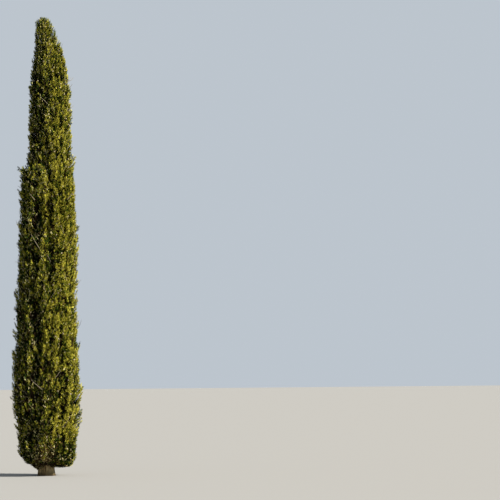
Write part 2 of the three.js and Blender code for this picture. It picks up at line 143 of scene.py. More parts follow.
@dataclass(frozen=True)
class Crown:
    """The crown's outline and the sheared layers in which its foliage grows, in metres."""

    height: float = 9.5
    left: Bowl = Bowl(0.612, 0.620, 0.470, 2.0)
    right: Bowl = Bowl(0.672, 0.560, 0.460, 3.0)
    right_narrows: tuple = (0.7, 1.7)
    changes: tuple = ((0.5, 1.7, 0.09), (2.0, 4.2, -0.092), (4.2, 5.9, -0.022), (5.95, 6.75, -0.156))
    tip_radius: float = 0.438
    tip_length: float = 1.56
    uneven: float = 0.035
    swells: tuple = ((0.6, 3.0, 0.62), (0.4, 5.0, -0.41))
    lean: tuple = ((3.0, 6.6, 0.078, -0.030), (8.45, 9.45, -0.100, 0.020))
    steepness: tuple = (0.15, 1.5, 0.4)
    steep_from: tuple = (0.15, 1.9)
    flat_from: tuple = (7.6, 8.9)
    steps: int = 24
    first_guess: float = 0.3
    damping: float = 0.6

    def axis(self, height: Array) -> Array:
        """The trunk's line at each height: the sum of smooth sideways bends, as (n, 2)."""
        return sum(smooth(low, high, height)[..., None] * np.array([x, y]) for low, high, x, y in self.lean)

    def radius(self, turn: Array, height: Array) -> Array:
        """Outline radius at a turn and height: the least of the bowl, the body and the rounded tip.

        Args:
            turn: Turns about the trunk.
            height: Heights above the ground.

        Returns:
            The radius from the trunk's line at each.
        """
        right = smooth(-1.0, 1.0, np.cos(turn))
        bowl = mix(self.left.at(height), self.right.at(height), right)
        foot_right = mix(self.right.radius, self.left.radius, smooth(*self.right_narrows, height))
        body = mix(self.left.radius, foot_right, right)
        for low, high, by in self.changes:
            body = body + by * smooth(low, high, height)
        tip = self.tip_radius * np.sqrt(np.maximum(0.0, self.height - height) / self.tip_length)
        return np.minimum(np.where(height < self.left.rim, bowl, body), tip)

    def steep(self, layer: Array) -> Array:
        """Rise of a layer for each metre outwards: flat at the foot and the top, steep between."""
        foot, body, top = self.steepness
        return mix(foot, mix(body, top, smooth(*self.flat_from, layer)), smooth(*self.steep_from, layer))

    def reach(self, turn: Array, layer: Array) -> Array:
        """Radius where a layer meets the outline, found by damped steps of r = outline(layer + s r).

        Args:
            turn: Turns about the trunk.
            layer: Layers, each named by its height at the trunk's line.

        Returns:
            The radius at each, with the swells of the outline.
        """
        turn, layer = np.broadcast_arrays(np.asarray(turn, float), np.asarray(layer, float))
        steep = self.steep(layer)
        radius = np.full(layer.shape, self.first_guess)
        for _ in range(self.steps):
            height = layer + steep * radius
            swell = sum(by * np.sin(waves * turn + height / length) for by, waves, length in self.swells)
            radius = mix(radius, self.radius(turn, height) * (1.0 + self.uneven * swell), self.damping)
        return radius

    def place(self, turn: Array, layer: Array, radius: Array) -> Array:
        """Points whose height is the layer plus its rise, round an axis that bends with the trunk.

        Args:
            turn: Turns about the trunk.
            layer: Layers.
            radius: Distances from the trunk's line.

        Returns:
            The points, (n, 3).
        """
        turn, layer, radius = np.broadcast_arrays(turn, np.asarray(layer, float), radius)
        height = layer + self.steep(layer) * radius
        axis = self.axis(height)
        x = axis[..., 0] + radius * np.cos(turn)
        y = axis[..., 1] + radius * np.sin(turn)
        return np.stack([x, y, height], axis=-1)


CROWN = Crown()
MASSES_PER_TIER = 7
TIERS = 6
LEVELS = (0.105, 0.820, 2.050, 3.330, 4.620, 5.920, 7.280, 8.940)
CORNER_TURN_SHIFT = 0.17
CORNER_HEIGHT_SHIFT = 0.16
LOWEST_LIMB_END, LIMB_END = 0.3, 0.4


@dataclass(frozen=True)
class Corner:
    """A corner where masses meet: a turn about the trunk and a layer."""

    turn: float
    layer: float

    @classmethod
    def at(cls, level: int, column: int) -> "Corner":
        """The corner at a place in the net of corners, shifted by chance as in the solids.

        Args:
            level: Which of the levels.
            column: Which corner of the level, counted round the trunk.

        Returns:
            The corner.
        """
        own = column % MASSES_PER_TIER
        turn_shift = (chance(level, own, 1) - 0.5) * 2.0 * CORNER_TURN_SHIFT
        layer = LEVELS[level]
        if 0 < level <= TIERS:
            spacing = (LEVELS[level + 1] - LEVELS[level - 1]) / 2.0
            layer += spacing * (chance(level, own, 2) - 0.5) * 2.0 * CORNER_HEIGHT_SHIFT
        turn = FULL_TURN / MASSES_PER_TIER * (column + (level % 2) / 2.0 + turn_shift)
        return cls(turn, layer)


@dataclass(frozen=True)
class Cell:
    """The space of one mass, between four corners that it shares with its neighbours."""

    tier: int
    column: int

    @property
    def lowest(self) -> bool:
        """Whether it is in the lowest tier, whose masses grow from boughs."""
        return self.tier == 1

    @property
    def seed(self) -> int:
        """The number that every chance of this mass starts from."""
        return self.tier * 11 + self.column

    @property
    def corners(self) -> tuple[Corner, Corner, Corner, Corner]:
        """The corners of the cell.

        Returns:
            The left, right, bottom and top corners.
        """
        middle = self.column + self.tier % 2
        places = ((0, self.column), (0, self.column + 1), (-1, middle), (1, middle))
        return tuple(Corner.at(self.tier + up, column) for up, column in places)

    @property
    def span(self) -> tuple[float, float]:
        """The lowest and highest layer."""
        low, high = (corner.layer for corner in self.corners[2:])
        return LEVELS[0] if self.lowest else low, LEVELS[TIERS + 1] if self.tier == TIERS else high

    @property
    def middle(self) -> float:
        """The layer of the limb's end."""
        return mix(*self.span, LOWEST_LIMB_END if self.lowest else LIMB_END)

    def edges(self, layer: Array) -> tuple[Array, Array]:
        """Turns of the left and right edge: half straight, half smooth, from corner to corner.

        Args:
            layer: Layers at which to find them.

        Returns:
            The turns of the left edge and of the right edge.
        """
        left, right, bottom, top = self.corners
        found = []
        for side in (left, right):
            below = layer < side.layer
            low_turn = np.where(below, bottom.turn, side.turn)
            high_turn = np.where(below, side.turn, top.turn)
            low_layer = np.where(below, bottom.layer, side.layer)
            high_layer = np.where(below, side.layer, top.layer)
            share = np.clip((layer - low_layer) / (high_layer - low_layer), 0.0, 1.0)
            turn = mix(low_turn, high_turn, mix(share, smooth(0.0, 1.0, share), 0.5))
            straight = (below & self.lowest) | (~below & (self.tier == TIERS))
            found.append(np.where(straight, side.turn, turn))
        return found[0], found[1]

    def turn_across(self, layer: Array, across: Array | float) -> Array:
        """Turn of the point a share, -1 to 1, of the way across the mass on a layer."""
        left, right = self.edges(np.asarray(layer, float))
        return (left + right) / 2.0 + across * (right - left) / 2.0


def shader_of(material: Material) -> bpy.types.Node:
    """The node that shades a material's surface."""
    return material.node_tree.nodes["Principled BSDF"]


def new_material(name: str, roughness: float, specular: float) -> Material:
    """Makes a material with its roughness and specular level on the shader's own sockets.

    Args:
        name: Its name.
        roughness: Roughness of the surface.
        specular: Specular level, 0.5 for common plastic.

    Returns:
        The material, whose base colour isn't set yet.
    """
    made = bpy.data.materials.new(name)
    made.use_nodes = True
    shader_of(made).inputs["Roughness"].default_value = roughness
    shader_of(made).inputs["Specular IOR Level"].default_value = specular
    return made


@dataclass(frozen=True)
class PlainFinish:
    """A matt finish of one base colour, for leaves, twigs and cones."""

    name: str
    colour: Colour
    roughness: float = 0.7
    specular: float = 0.04

    def material(self) -> Material:
        """The finish as a material.

        Returns:
            The material, with the colour on the shader's own socket.
        """
        made = new_material(self.name, self.roughness, self.specular)
        made.diffuse_color = (*self.colour, 1.0)
        shader_of(made).inputs["Base Color"].default_value = (*self.colour, 1.0)
        return made


@dataclass(frozen=True)
class BarkFinish:
    """Fibrous bark: long strands along the limb, dark in the furrows, weathered, and darkened towards the
    ground as painted shade.
    """

    name: str
    furrow: Colour
    strand: Colour
    weathered: Colour
    strands_per_metre: float = 64.0
    stretch: float = 0.11
    roughness: float = 0.88
    specular: float = 0.1
    painted_shade_height: float = 0.13
    strand_noise: tuple = (8.0, 0.62)
    strand_ramp: tuple = (0.40, 0.58)
    patch_noise: tuple = (5.0, 3.0, 0.5)
    patch_ramp: tuple = (0.46, 0.68)
    bump: float = 0.9
    bump_depth: float = 0.008

    def material(self) -> Material:
        """The finish as nodes: stretched noise through a ramp for the colour, and again for the bump.

        Returns:
            The material, whose patterns stand on Object coordinates.
        """
        made = new_material(self.name, self.roughness, self.specular)
        tree = made.node_tree
        colours = (self.furrow, self.strand, self.weathered)
        furrow, strand, weathered = ((*colour, 1.0) for colour in colours)
        place = self._node(tree, "TexCoord").outputs["Object"]
        height = self._node(tree, "SeparateXYZ", Vector=place).outputs["Z"]
        # Painted shade at the foot: below this height the bark fades to the furrow colour.
        painted_shade_fade = self._node(tree, "MapRange", From_Max=self.painted_shade_height, Value=height).outputs["Result"]
        drawn_out = self._node(tree, "Mapping", Scale=(1.0, 1.0, self.stretch), Vector=place)
        strands = self._noise(tree, drawn_out.outputs["Vector"], self.strands_per_metre, *self.strand_noise)
        patches = self._noise(tree, place, *self.patch_noise)
        colour = self._ramp(tree, strands, self.strand_ramp, (furrow, strand))
        weather = self._ramp(tree, patches, self.patch_ramp)
        colour = self._node(tree, "Mix", Factor=weather, A=colour, B=weathered).outputs["Result"]
        colour = self._node(tree, "Mix", Factor=painted_shade_fade, A=furrow, B=colour).outputs["Result"]
        bump = self._node(tree, "Bump", Strength=self.bump, Distance=self.bump_depth, Height=strands)
        tree.links.new(colour, shader_of(made).inputs["Base Color"])
        tree.links.new(bump.outputs["Normal"], shader_of(made).inputs["Normal"])
        return made

    @staticmethod
    def _node(tree: Tree, kind: str, **inputs: object) -> bpy.types.Node:
        """Adds a node to a material's tree.

        Args:
            tree: The tree.
            kind: The node's type without its first words.
            inputs: For each named input, the socket to link to it or the value to set.

        Returns:
            The node.
        """
        node = tree.nodes.new(f"ShaderNode{kind}")
        if kind == "Mix":
            node.data_type = "RGBA"
        for name, value in inputs.items():
            socket = node.inputs[name.replace("_", " ")]
            if isinstance(value, Socket):
                tree.links.new(value, socket)
            else:
                socket.default_value = value
        return node

    def _noise(self, tree: Tree, at: Socket, scale: float, detail: float, rough: float) -> Socket:
        """A noise texture's value, by its scale, detail and roughness."""
        noise = self._node(tree, "TexNoise", Vector=at, Scale=scale, Detail=detail, Roughness=rough)
        return noise.outputs["Fac"]

    def _ramp(self, tree: Tree, value: Socket, places: tuple, colours: tuple = ()) -> Socket:
        """A colour ramp's colour.

        Args:
            tree: The material's tree.
            value: The socket that it reads.
            places: Where its two ends lie.
            colours: Their colours, or none for black and white.

        Returns:
            The socket of the colour.
        """
        ramp = self._node(tree, "ValToRGB", Fac=value)
        for end, place in zip(ramp.color_ramp.elements, places):
            end.position = place
        for end, colour in zip(ramp.color_ramp.elements, colours):
            end.color = colour
        return ramp.outputs["Color"]


class Tint(IntEnum):
    """Base colours of the sprays: one foliage colour painted from the shaded inside to the sunlit, then pale
    straw and dead brown.
    """

    NIGHT = 0
    DEEP = 1
    BOTTLE = 2
    OLIVE = 3
    MOSS = 4
    SUNLIT = 5
    STRAW = 6
    DEAD = 7


class TwigTint(IntEnum):
    """Base colours of the twigs: two for those with leaves, and one for the bare."""

    BROWN = 0
    UMBER = 1
    GREY = 2


# NIGHT to SUNLIT are lit and shaded copies of one foliage colour: painted shade up to painted sunlight.
LEAF_FINISHES = {
    Tint.NIGHT: PlainFinish("leaf_night", (0.003, 0.006, 0.002), 0.9, 0.0),
    Tint.DEEP: PlainFinish("leaf_deep", (0.010, 0.023, 0.005), 0.9, 0.0),
    Tint.BOTTLE: PlainFinish("leaf_bottle", (0.038, 0.070, 0.008)),
    Tint.OLIVE: PlainFinish("leaf_olive", (0.106, 0.124, 0.008)),
    Tint.MOSS: PlainFinish("leaf_moss", (0.218, 0.206, 0.015)),
    Tint.SUNLIT: PlainFinish("leaf_sunlit", (0.356, 0.322, 0.038)),
    Tint.STRAW: PlainFinish("leaf_straw", (0.470, 0.425, 0.205)),
    Tint.DEAD: PlainFinish("leaf_dead", (0.100, 0.058, 0.023)),
}
TWIG_FINISHES = (
    PlainFinish("twig_brown", (0.028, 0.018, 0.010), 0.9, 0.0),
    PlainFinish("twig_umber", (0.014, 0.009, 0.005), 0.9, 0.0),
    PlainFinish("twig_grey", (0.20, 0.17, 0.115), 0.8),
)
CONE_FINISHES = (
    PlainFinish("cone_grey", (0.18, 0.145, 0.09), 0.8),
    PlainFinish("cone_pale", (0.29, 0.245, 0.15), 0.8),
    PlainFinish("cone_green", (0.115, 0.115, 0.030), 0.75),
)
CONE_SHARES = (0.45, 0.35, 0.2)
TRUNK_BARK = BarkFinish("bark", (0.034, 0.022, 0.010), (0.350, 0.254, 0.112), (0.36, 0.296, 0.160))
LIMB_BARK = BarkFinish("limb_bark", (0.030, 0.020, 0.010), (0.15, 0.100, 0.044), (0.17, 0.130, 0.066), 80.0)


@dataclass
class Shape:
    """Triangles to be joined into one piece: points, corners and the finish of each triangle."""

    points: list[Array] = field(default_factory=list)
    corners: list[Array] = field(default_factory=list)
    finishes: list[Array] = field(default_factory=list)
    count: int = 0

    def add(self, points: Array, corners: Array, finish: Array | int) -> None:
        """Adds triangles.

        Args:
            points: Their points, (..., 3).
            corners: The three points of each, counted within these points.
            finish: The finish of each, or of all.
        """
        self.points.append(points.reshape(-1, 3))
        self.corners.append(corners.reshape(-1, 3) + self.count)
        self.finishes.append(np.broadcast_to(finish, (len(self.corners[-1]),)))
        self.count += len(self.points[-1])

    def build(self, name: str, materials: list[Material], smooth_faces: bool = False) -> bpy.types.Object:
        """Makes the mesh object, at the origin.

        Args:
            name: Name of the object and its mesh.
            materials: The slots that the finishes index.
            smooth_faces: Whether the faces are shaded smooth.

        Returns:
            The object, linked to the scene.
        """
        points, corners = np.concatenate(self.points), np.concatenate(self.corners)
        mesh = bpy.data.meshes.new(name)
        mesh.vertices.add(len(points))
        mesh.vertices.foreach_set("co", points.astype(np.float32).ravel())
        mesh.loops.add(corners.size)
        mesh.loops.foreach_set("vertex_index", corners.astype(np.int32).ravel())
        mesh.polygons.add(len(corners))
        mesh.polygons.foreach_set("loop_start", np.arange(0, corners.size, 3, dtype=np.int32))
        mesh.polygons.foreach_set("material_index", np.concatenate(self.finishes).astype(np.int32))
        mesh.polygons.foreach_set("use_smooth", np.full(len(corners), smooth_faces))
        for material in materials:
            mesh.materials.append(material)
        mesh.update(calc_edges=True)
        made = bpy.data.objects.new(name, mesh)
        bpy.context.scene.collection.objects.link(made)
        return made


def dress(made: bpy.types.Object, node: str | None = None) -> int:
    """Rides a piece on the tree's body and hides the node that it replaces.

    Args:
        made: The piece.
        node: The node, or None where it stands for none.

    Returns:
        How many triangles it has.
    """
    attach(made, BODY)
    if node:
        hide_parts(node)
    return len(made.data.polygons)


def grid_faces(rings: int, sides: int) -> Array:
    """Triangles of a closed tube of rings, two to each cell, with a fan over each end.

    Args:
        rings: How many rings.
        sides: Points of each ring.

    Returns:
        The triangles, (n, 3).
    """
    ring = np.arange(rings - 1)[:, None] * sides
    here = np.arange(sides)[None, :]
    ahead = (here + 1) % sides
    a, b, c, d = ring + here, ring + ahead, ring + sides + ahead, ring + sides + here
    walls = np.stack([np.stack([a, b, c], -1), np.stack([a, c, d], -1)], 2).reshape(-1, 3)
    fan = np.arange(1, sides - 1)
    start = np.stack([np.zeros_like(fan), fan + 1, fan], -1)
    end = np.stack([np.zeros_like(fan), fan, fan + 1], -1) + (rings - 1) * sides
    return np.concatenate([walls, start, end])


def copies(faces: Array, count: int, points: int) -> Array:
    """The triangles of many like shapes, each with its own points."""
    return (faces[None] + (np.arange(count) * points)[:, None, None]).reshape(-1, 3)


def tubes(paths: Array, radii: Array | tuple, sides: int) -> tuple[Array, Array]:
    """Round tubes along paths: each ring is the path's point plus r (cos a u + sin a v).

    Args:
        paths: Points of each path, (n, m, 3).
        radii: Radius at each point, (n, m), or (m,) where all paths share them.
        sides: Corners of each ring.

    Returns:
        The points (n, m * sides, 3), and the triangles of all the tubes.
    """
    count, rings = paths.shape[:2]
    radii = np.broadcast_to(radii, (count, rings))
    tangent = unit(np.gradient(paths, axis=1))
    whole = paths[:, -1] - paths[:, 0]
    level = np.stack([-whole[:, 1], whole[:, 0] + 1e-4, np.zeros(count)], -1)[:, None, :]
    u = unit(np.cross(level, tangent))
    v = np.cross(tangent, u)
    angle = FULL_TURN * np.arange(sides) / sides
    ring = np.cos(angle)[:, None] * u[:, :, None, :] + np.sin(angle)[:, None] * v[:, :, None, :]
    points = paths[:, :, None, :] + radii[:, :, None, None] * ring
    return points.reshape(count, -1, 3), copies(grid_faces(rings, sides), count, rings * sides)


def bezier(foot: Array, bend: Array, end: Array, share: Array) -> Array:
    """Points of a quadratic curve: (1-t)^2 foot + 2 t (1-t) bend + t^2 end."""
    share = share[..., None]
    return (1.0 - share) ** 2 * foot + 2.0 * share * (1.0 - share) * bend + share**2 * end


FURROW_SETS = ((13, 0.42, 1.4), (27, 0.34, 2.9), (43, 0.24, 5.3))
FURROW_SWAY = (0.6, 2.7, 2.0)
FURROW_FADE = (0.62, 0.38, 3.9, 3.0)


def furrows(turn: Array, along: Array, seed: int) -> Array:
    """Relief of fibrous bark from -1 to 1: strands round the limb that drift and fade along it.

    Each of three sets is twice the root of the size of a sine of a whole number of strands, less 1. Its
    phase drifts with the distance along the limb by two sines, the second with a size, pace and twist of
    its own. Its strength is a base plus a size times a sine with its own pace and twist.

    Args:
        turn: Turns round the limb.
        along: Distances along it.
        seed: Seed of the sets' phases.

    Returns:
        The relief at each point of the grid.
    """
    rng = np.random.default_rng(seed)
    total = np.zeros(np.broadcast(turn, along).shape)
    for strands, weight, drift in FURROW_SETS:
        phase = rng.uniform(0.0, FULL_TURN, 4)
        size, pace, twist = FURROW_SWAY
        sway = np.sin(along * drift + phase[0])
        sway = sway + size * np.sin(along * drift * pace + phase[1] + twist * turn)
        base, size, pace, twist = FURROW_FADE
        strength = base + size * np.sin(along * drift * pace + phase[2] + twist * turn)
        ridge = 2.0 * np.sqrt(np.abs(np.sin(0.5 * (strands * turn + sway * 2.0 + phase[3])))) - 1.0
        total += weight * strength * ridge
    return total


@dataclass
class Trunk:
    """The trunk: true taper, lean and root flare, with strands of bark in relief."""

    tip_height: float = 8.96
    ground_radius: float = 0.164
    tip_radius: float = 0.012
    taper: float = 0.92
    flare: float = 0.024
    flare_height: float = 0.120
    buttresses: int = 5
    buttress_depth: float = 0.35
    relief: float = 0.0150
    full_relief_girth: float = 0.16
    least_relief: float = 0.12
    sunk: float = 0.45
    seed: int = 5
    sides: int = 200
    rings: int = 150
    crowding: float = 2.2

    def radius(self, height: Array | float) -> Array | float:
        """Radius at a height, without the flare: a power of the share of the height that is left."""
        left = np.maximum(0.0, 1.0 - np.asarray(height) / self.tip_height)
        return mix(self.tip_radius, self.ground_radius, left**self.taper)

    def build(self) -> None:
        """Makes the trunk's mesh on a grid of turn and height, whose rings crowd towards the ground."""
        height = self.tip_height * (np.arange(self.rings) / (self.rings - 1.0))[:, None] ** self.crowding
        turn = (FULL_TURN * np.arange(self.sides) / self.sides)[None, :]
        buttress = 1.0 + self.buttress_depth * np.cos(self.buttresses * turn)
        girth = self.radius(height) + self.flare * np.exp(-height / self.flare_height) * buttress
        depth = self.relief * np.clip(girth / self.full_relief_girth, self.least_relief, 1.0)
        radius = girth + depth * (furrows(turn, height, self.seed) - self.sunk)
        axis = CROWN.axis(height)
        z = np.broadcast_to(height, radius.shape)
        x, y = axis[..., 0] + radius * np.cos(turn), axis[..., 1] + radius * np.sin(turn)
        shape = Shape()
        shape.add(np.stack([x, y, z], -1), grid_faces(self.rings, self.sides), 0)
        made = shape.build("trunk_bark", [TRUNK_BARK.material()], smooth_faces=True)
        LOG.info("trunk: %d triangles", dress(made, "trunk"))


@dataclass(frozen=True)
class Limb:
    """The limb of one mass: out of the trunk, steeply up, and into the middle of the mass."""

    cell: Cell
    depth: float = 0.62
    inside_trunk: float = 0.2
    climb: float = 2.3
    sag: float = 0.06
    bough_rise: float = 0.56
    bough_foot: float = 0.225
    bough_foot_chance: float = 0.06

    @property
    def line(self) -> tuple[Array, Array, Array]:
        """The limb's quadratic curve, as in the solids.

        Returns:
            Its foot on the trunk's line, its bend and its end.
        """
        cell = self.cell
        layer = np.array(cell.middle)
        turn = cell.turn_across(layer, 0.0)
        reach = float(CROWN.reach(turn, layer))
        end = CROWN.place(turn, layer, np.array(reach * self.depth))
        climb = self.bough_rise if cell.lowest else self.climb * reach * (self.depth - self.inside_trunk)
        height = end[2] - climb
        if cell.lowest:
            height = self.bough_foot + self.bough_foot_chance * chance(cell.seed, 5)
        foot = np.array([*CROWN.axis(np.array(height)), height])
        return foot, (foot + end) / 2.0 - np.array([0.0, 0.0, self.sag * climb]), end

    def path(self, share: Array) -> Array:
        """Points of the limb at shares of its length."""
        return bezier(*self.line, share)


@dataclass
class Boughs:
    """The seven low boughs, each one tapering limb from the trunk to where it enters its mass."""

    foot_radius: float = 0.038
    tip_radius: float = 0.027
    tip_drop: float = 0.55
    relief: float = 0.0040
    first_seed: int = 20
    sides: int = 28
    rings: int = 36
    start_share: float = 0.02
    bark_length: float = 0.5
    search: tuple = (0.1, 0.95, 400)
    ends: dict[int, float] = field(default_factory=dict)

    def end_of(self, node: str, limb: Limb) -> float:
        """Share of the limb at which the solid bough ends, read from the height of its node's box.

        Args:
            node: The bough's node.
            limb: The whole limb.

        Returns:
            The share, from 0 at the trunk to 1 in the mass.
        """
        share = np.linspace(*self.search)
        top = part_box(node)[1].z - self.tip_drop * self.tip_radius
        return float(share[np.argmin(np.abs(limb.path(share)[:, 2] - top))])

    def build(self) -> None:
        """Makes the boughs: rings along each limb's curve, with the bark's relief on their radius."""
        material = LIMB_BARK.material()
        radius = np.linspace(self.foot_radius, self.tip_radius, self.rings)
        turn = (FULL_TURN * np.arange(self.sides) / self.sides)[None, :]
        along = np.linspace(0.0, self.bark_length, self.rings)[:, None]
        for column in range(MASSES_PER_TIER):
            node = f"bough_{column + 1}"
            limb = Limb(Cell(1, column))
            self.ends[column] = self.end_of(node, limb)
            path = limb.path(np.linspace(self.start_share, self.ends[column], self.rings))[None]
            points, faces = tubes(path, 1.0, self.sides)
            line = path[0][:, None, :]
            outward = points.reshape(self.rings, self.sides, 3) - line
            swell = self.relief * furrows(turn, along, self.first_seed + column)
            shape = Shape()
            shape.add(line + outward * (radius[:, None] + swell)[..., None], faces, 0)
            made = shape.build(f"bough_bark_{column + 1}", [material], smooth_faces=True)
            LOG.info("%s: %d triangles", node, dress(made, node))


@dataclass
class Tufts:
    """Upright tufts of sprays, each on one twig from foot to tip.

    Attributes:
        anchor: Where the twig leaves its limb, (n, 3).
        foot: Where its sprays begin, (n, 3).
        tip: Where they end, (n, 3).
        outward: Level direction away from the trunk, (n, 3).
        size: Size of its sprays, 1 for the largest, (n,).
        tone: How light its sprays are, 0 to 1, (n,).
        dead: Share of its sprays that are dead, (n,).
    """

    anchor: Array
    foot: Array
    tip: Array
    outward: Array
    size: Array
    tone: Array
    dead: Array

    @classmethod
    def joined(cls, parts: list["Tufts"]) -> "Tufts":
        """Several sets of tufts as one."""
        return cls(*(np.concatenate([getattr(part, item.name) for part in parts]) for item in fields(cls)))


@dataclass
class SprayRule:
    """How sprays of scale leaves sit on a tuft's twig, and how a spray branches.

    A blade has a root, a left, a tip and a right point, and its two sides are folded off its middle line. A
    side blade is a place along the middle one, a length and an angle to it.
    """

    per_tuft: int = 19
    inner_per_tuft: int = 10
    foot_length: float = 0.073
    tip_length: float = 0.056
    foot_spread: float = 0.95
    tip_spread: float = 0.48
    last_spread: float = 0.3
    upwards: float = 0.12
    topmost: float = 0.93
    facing: float = 0.80
    roll: float = 0.9
    side_blades: tuple = ((0.14, 0.68, 0.40),)
    side_shift: float = 0.05
    side_turns: tuple = (0.8, 1.2)
    side_lengths: tuple = (0.85, 1.15)
    side_lifts: tuple = (-0.3, 0.4)
    first_place: float = 0.6
    place_chance: float = 0.4
    spread_range: tuple = (0.75, 1.25)
    length_range: tuple = (0.75, 1.2)
    blade_width: float = 0.175
    narrowest: float = 0.55
    widest_at: float = 0.45
    fold: float = 0.35
    variants: int = 8
    tip_light: float = 0.22
    light_chance: float = 0.34
    dry_and_glints: float = 0.020
    painted_glints_left: float = 0.070
    dry_dead: float = 0.26

    def templates(self, rng: Chance) -> Array:
        """Points of a few sprays in their own frame (along, side, normal).

        Args:
            rng: Source of chance.

        Returns:
            The points of each variant, (variants, 4 * blades, 3).
        """
        made = []
        for _ in range(self.variants):
            blades = [(0.0, 1.0, 0.0, 0.0)]
            for at, length, angle in self.side_blades:
                turn = rng.choice([-1.0, 1.0]) * angle * rng.uniform(*self.side_turns)
                place = at + rng.uniform(-self.side_shift, self.side_shift)
                long = length * rng.uniform(*self.side_lengths)
                blades.append((place, long, turn, rng.uniform(*self.side_lifts)))
            points = []
            for at, length, turn, lift in blades:
                ahead = unit(np.array([math.cos(turn), math.sin(turn), lift]))
                beside = unit(np.cross(UP, ahead))
                over = np.cross(ahead, beside)
                root = np.array([at, 0.0, 0.0])
                width = self.blade_width * mix(self.narrowest, 1.0, length) * 0.5
                middle = root + ahead * length * self.widest_at - over * self.fold * width
                points += [root, middle + beside * width, root + ahead * length, middle - beside * width]
            made.append(points)
        return np.array(made)

    @property
    def faces(self) -> Array:
        """Two triangles for each blade, one on each side of its fold."""
        return copies(np.array([[0, 2, 1], [0, 3, 2]]), 1 + len(self.side_blades), 4)

    def grow(self, tufts: Tufts, rng: Chance, per_tuft: int | None = None) -> tuple[Array, Array, Array]:
        """Sets sprays along each tuft's twig.

        Args:
            tufts: The tufts that bear them.
            rng: Source of chance.
            per_tuft: How many each tuft bears, or None for the usual number.

        Returns:
            Points of all sprays (n, points, 3), their triangles, and a tint for each triangle.
        """
        each = per_tuft or self.per_tuft
        count = len(tufts.size)
        moved = rng.uniform(-self.place_chance, self.place_chance, (count, each)) / each
        share = (np.arange(each) + self.first_place) / each
        share = np.clip(share[None, :] + moved, 0.0, 0.99)
        root, axes = self._frames(tufts, share, rng)
        kinds = self.templates(rng)[rng.integers(0, self.variants, share.shape)]
        points = root[:, :, None, :] + np.einsum("ijpk,ijkc->ijpc", kinds, axes)
        points = points.reshape(count * each, -1, 3)
        tint = self.tints(tufts, share, rng).reshape(-1)
        return points, copies(self.faces, *points.shape[:2]), np.repeat(tint, len(self.faces))

    def _frames(self, tufts: Tufts, share: Array, rng: Chance) -> tuple[Array, Array]:
        """Turns the sprays by the golden angle, mostly to the outer side, and leans and rolls them.

        Args:
            tufts: The tufts.
            share: Place of each spray along its tuft's twig, (tufts, sprays).
            rng: Source of chance.

        Returns:
            The root of each spray, and its three axes at the spray's length.
        """
        outward, twig = tufts.outward[:, None, :], tufts.tip - tufts.foot
        along = unit(twig)[:, None, :]
        root = tufts.foot[:, None, :] + twig[:, None, :] * (share * self.topmost)[..., None]
        out = unit(outward - along * (outward * along).sum(-1, keepdims=True))
        round_ = np.cross(along, out)
        turn = np.arange(share.shape[1])[None, :] * GOLDEN_TURN
        turn = turn + rng.uniform(0.0, FULL_TURN, (len(share), 1))
        turn = (np.mod(turn + math.pi, FULL_TURN) - math.pi) * self.facing
        ray = np.cos(turn)[..., None] * out + np.sin(turn)[..., None] * round_
        spread = mix(self.foot_spread, self.tip_spread, share) * rng.uniform(*self.spread_range, share.shape)
        spread[:, -1] *= self.last_spread
        ahead = np.cos(spread)[..., None] * along + np.sin(spread)[..., None] * ray
        ahead = unit(ahead + self.upwards * UP)
        roll = rng.uniform(-self.roll, self.roll, share.shape)[..., None]
        flat = unit(np.cross(ray, ahead))
        side = unit(np.cos(roll) * flat + np.sin(roll) * np.cross(ahead, flat))
        normal = np.cross(ahead, side)
        facing = np.where((normal * outward).sum(-1, keepdims=True) < 0.0, -1.0, 1.0)
        length = mix(self.foot_length, self.tip_length, share) * rng.uniform(*self.length_range, share.shape)
        length = (length * tufts.size[:, None])[..., None]
        return root, np.stack([ahead * length, side * facing * length, normal * facing * length], axis=-2)

    def tints(self, tufts: Tufts, share: Array, rng: Chance) -> Array:
        """Deals a tint to each spray: lighter towards the tuft's tip, by its tone and by chance.

        Args:
            tufts: The tufts.
            share: Place of each spray along its tuft's twig, (tufts, sprays).
            rng: Source of chance.

        Returns:
            The tints, (tufts, sprays).
        """
        dead = tufts.dead[:, None]
        # The tone picks a tint on the ladder of painted shade and light.
        light = tufts.tone[:, None] + self.tip_light * (share - 0.5)
        light = light + rng.normal(0.0, self.light_chance, share.shape)
        tint = np.clip(np.floor(light * (Tint.SUNLIT + 1.0)).astype(int), Tint.NIGHT, Tint.SUNLIT)
        dice = rng.uniform(size=share.shape)
        tint = np.where(rng.uniform(size=share.shape) < dead, Tint.DEAD, tint)
        # Pale straw specks: dried and dead sprays, and, more on the shaded left, painted glints of the sky.
        dry_and_glints = self.dry_and_glints + self.painted_glints_left * smooth(0.5, -0.5, tufts.outward[:, :1]) + self.dry_dead * dead
        return np.where(dice < dry_and_glints, Tint.STRAW, tint)


@dataclass(frozen=True)
class Patch:
    """A hollow in the crown's surface, or a plume or tuft that stands out of it, with painted shade or light
    in its tone.

    Attributes:
        turn: Turn of its middle, in degrees.
        height: Height of its middle, in metres.
        half_turn: Half its width, in degrees.
        half_height: Half its height, in metres.
        inward: How much further in its tufts stand, in metres.
        tone: How much lighter its sprays are: painted light above 0, painted shade below.
    """

    turn: float
    height: float
    half_turn: float
    half_height: float
    inward: float
    tone: float

    def share(self, turn: Array, height: Array) -> Array:
        """How far points belong to it: e to the power of less the fourth power of their distance.

        Args:
            turn: Turns about the trunk.
            height: Heights above the ground.

        Returns:
            The shares, 1 in its middle.
        """
        across = (np.mod(np.degrees(turn) - self.turn + 180.0, 360.0) - 180.0) / self.half_turn
        along = (height - self.height) / self.half_height
        return np.exp(-((across**2 + along**2) ** 2))


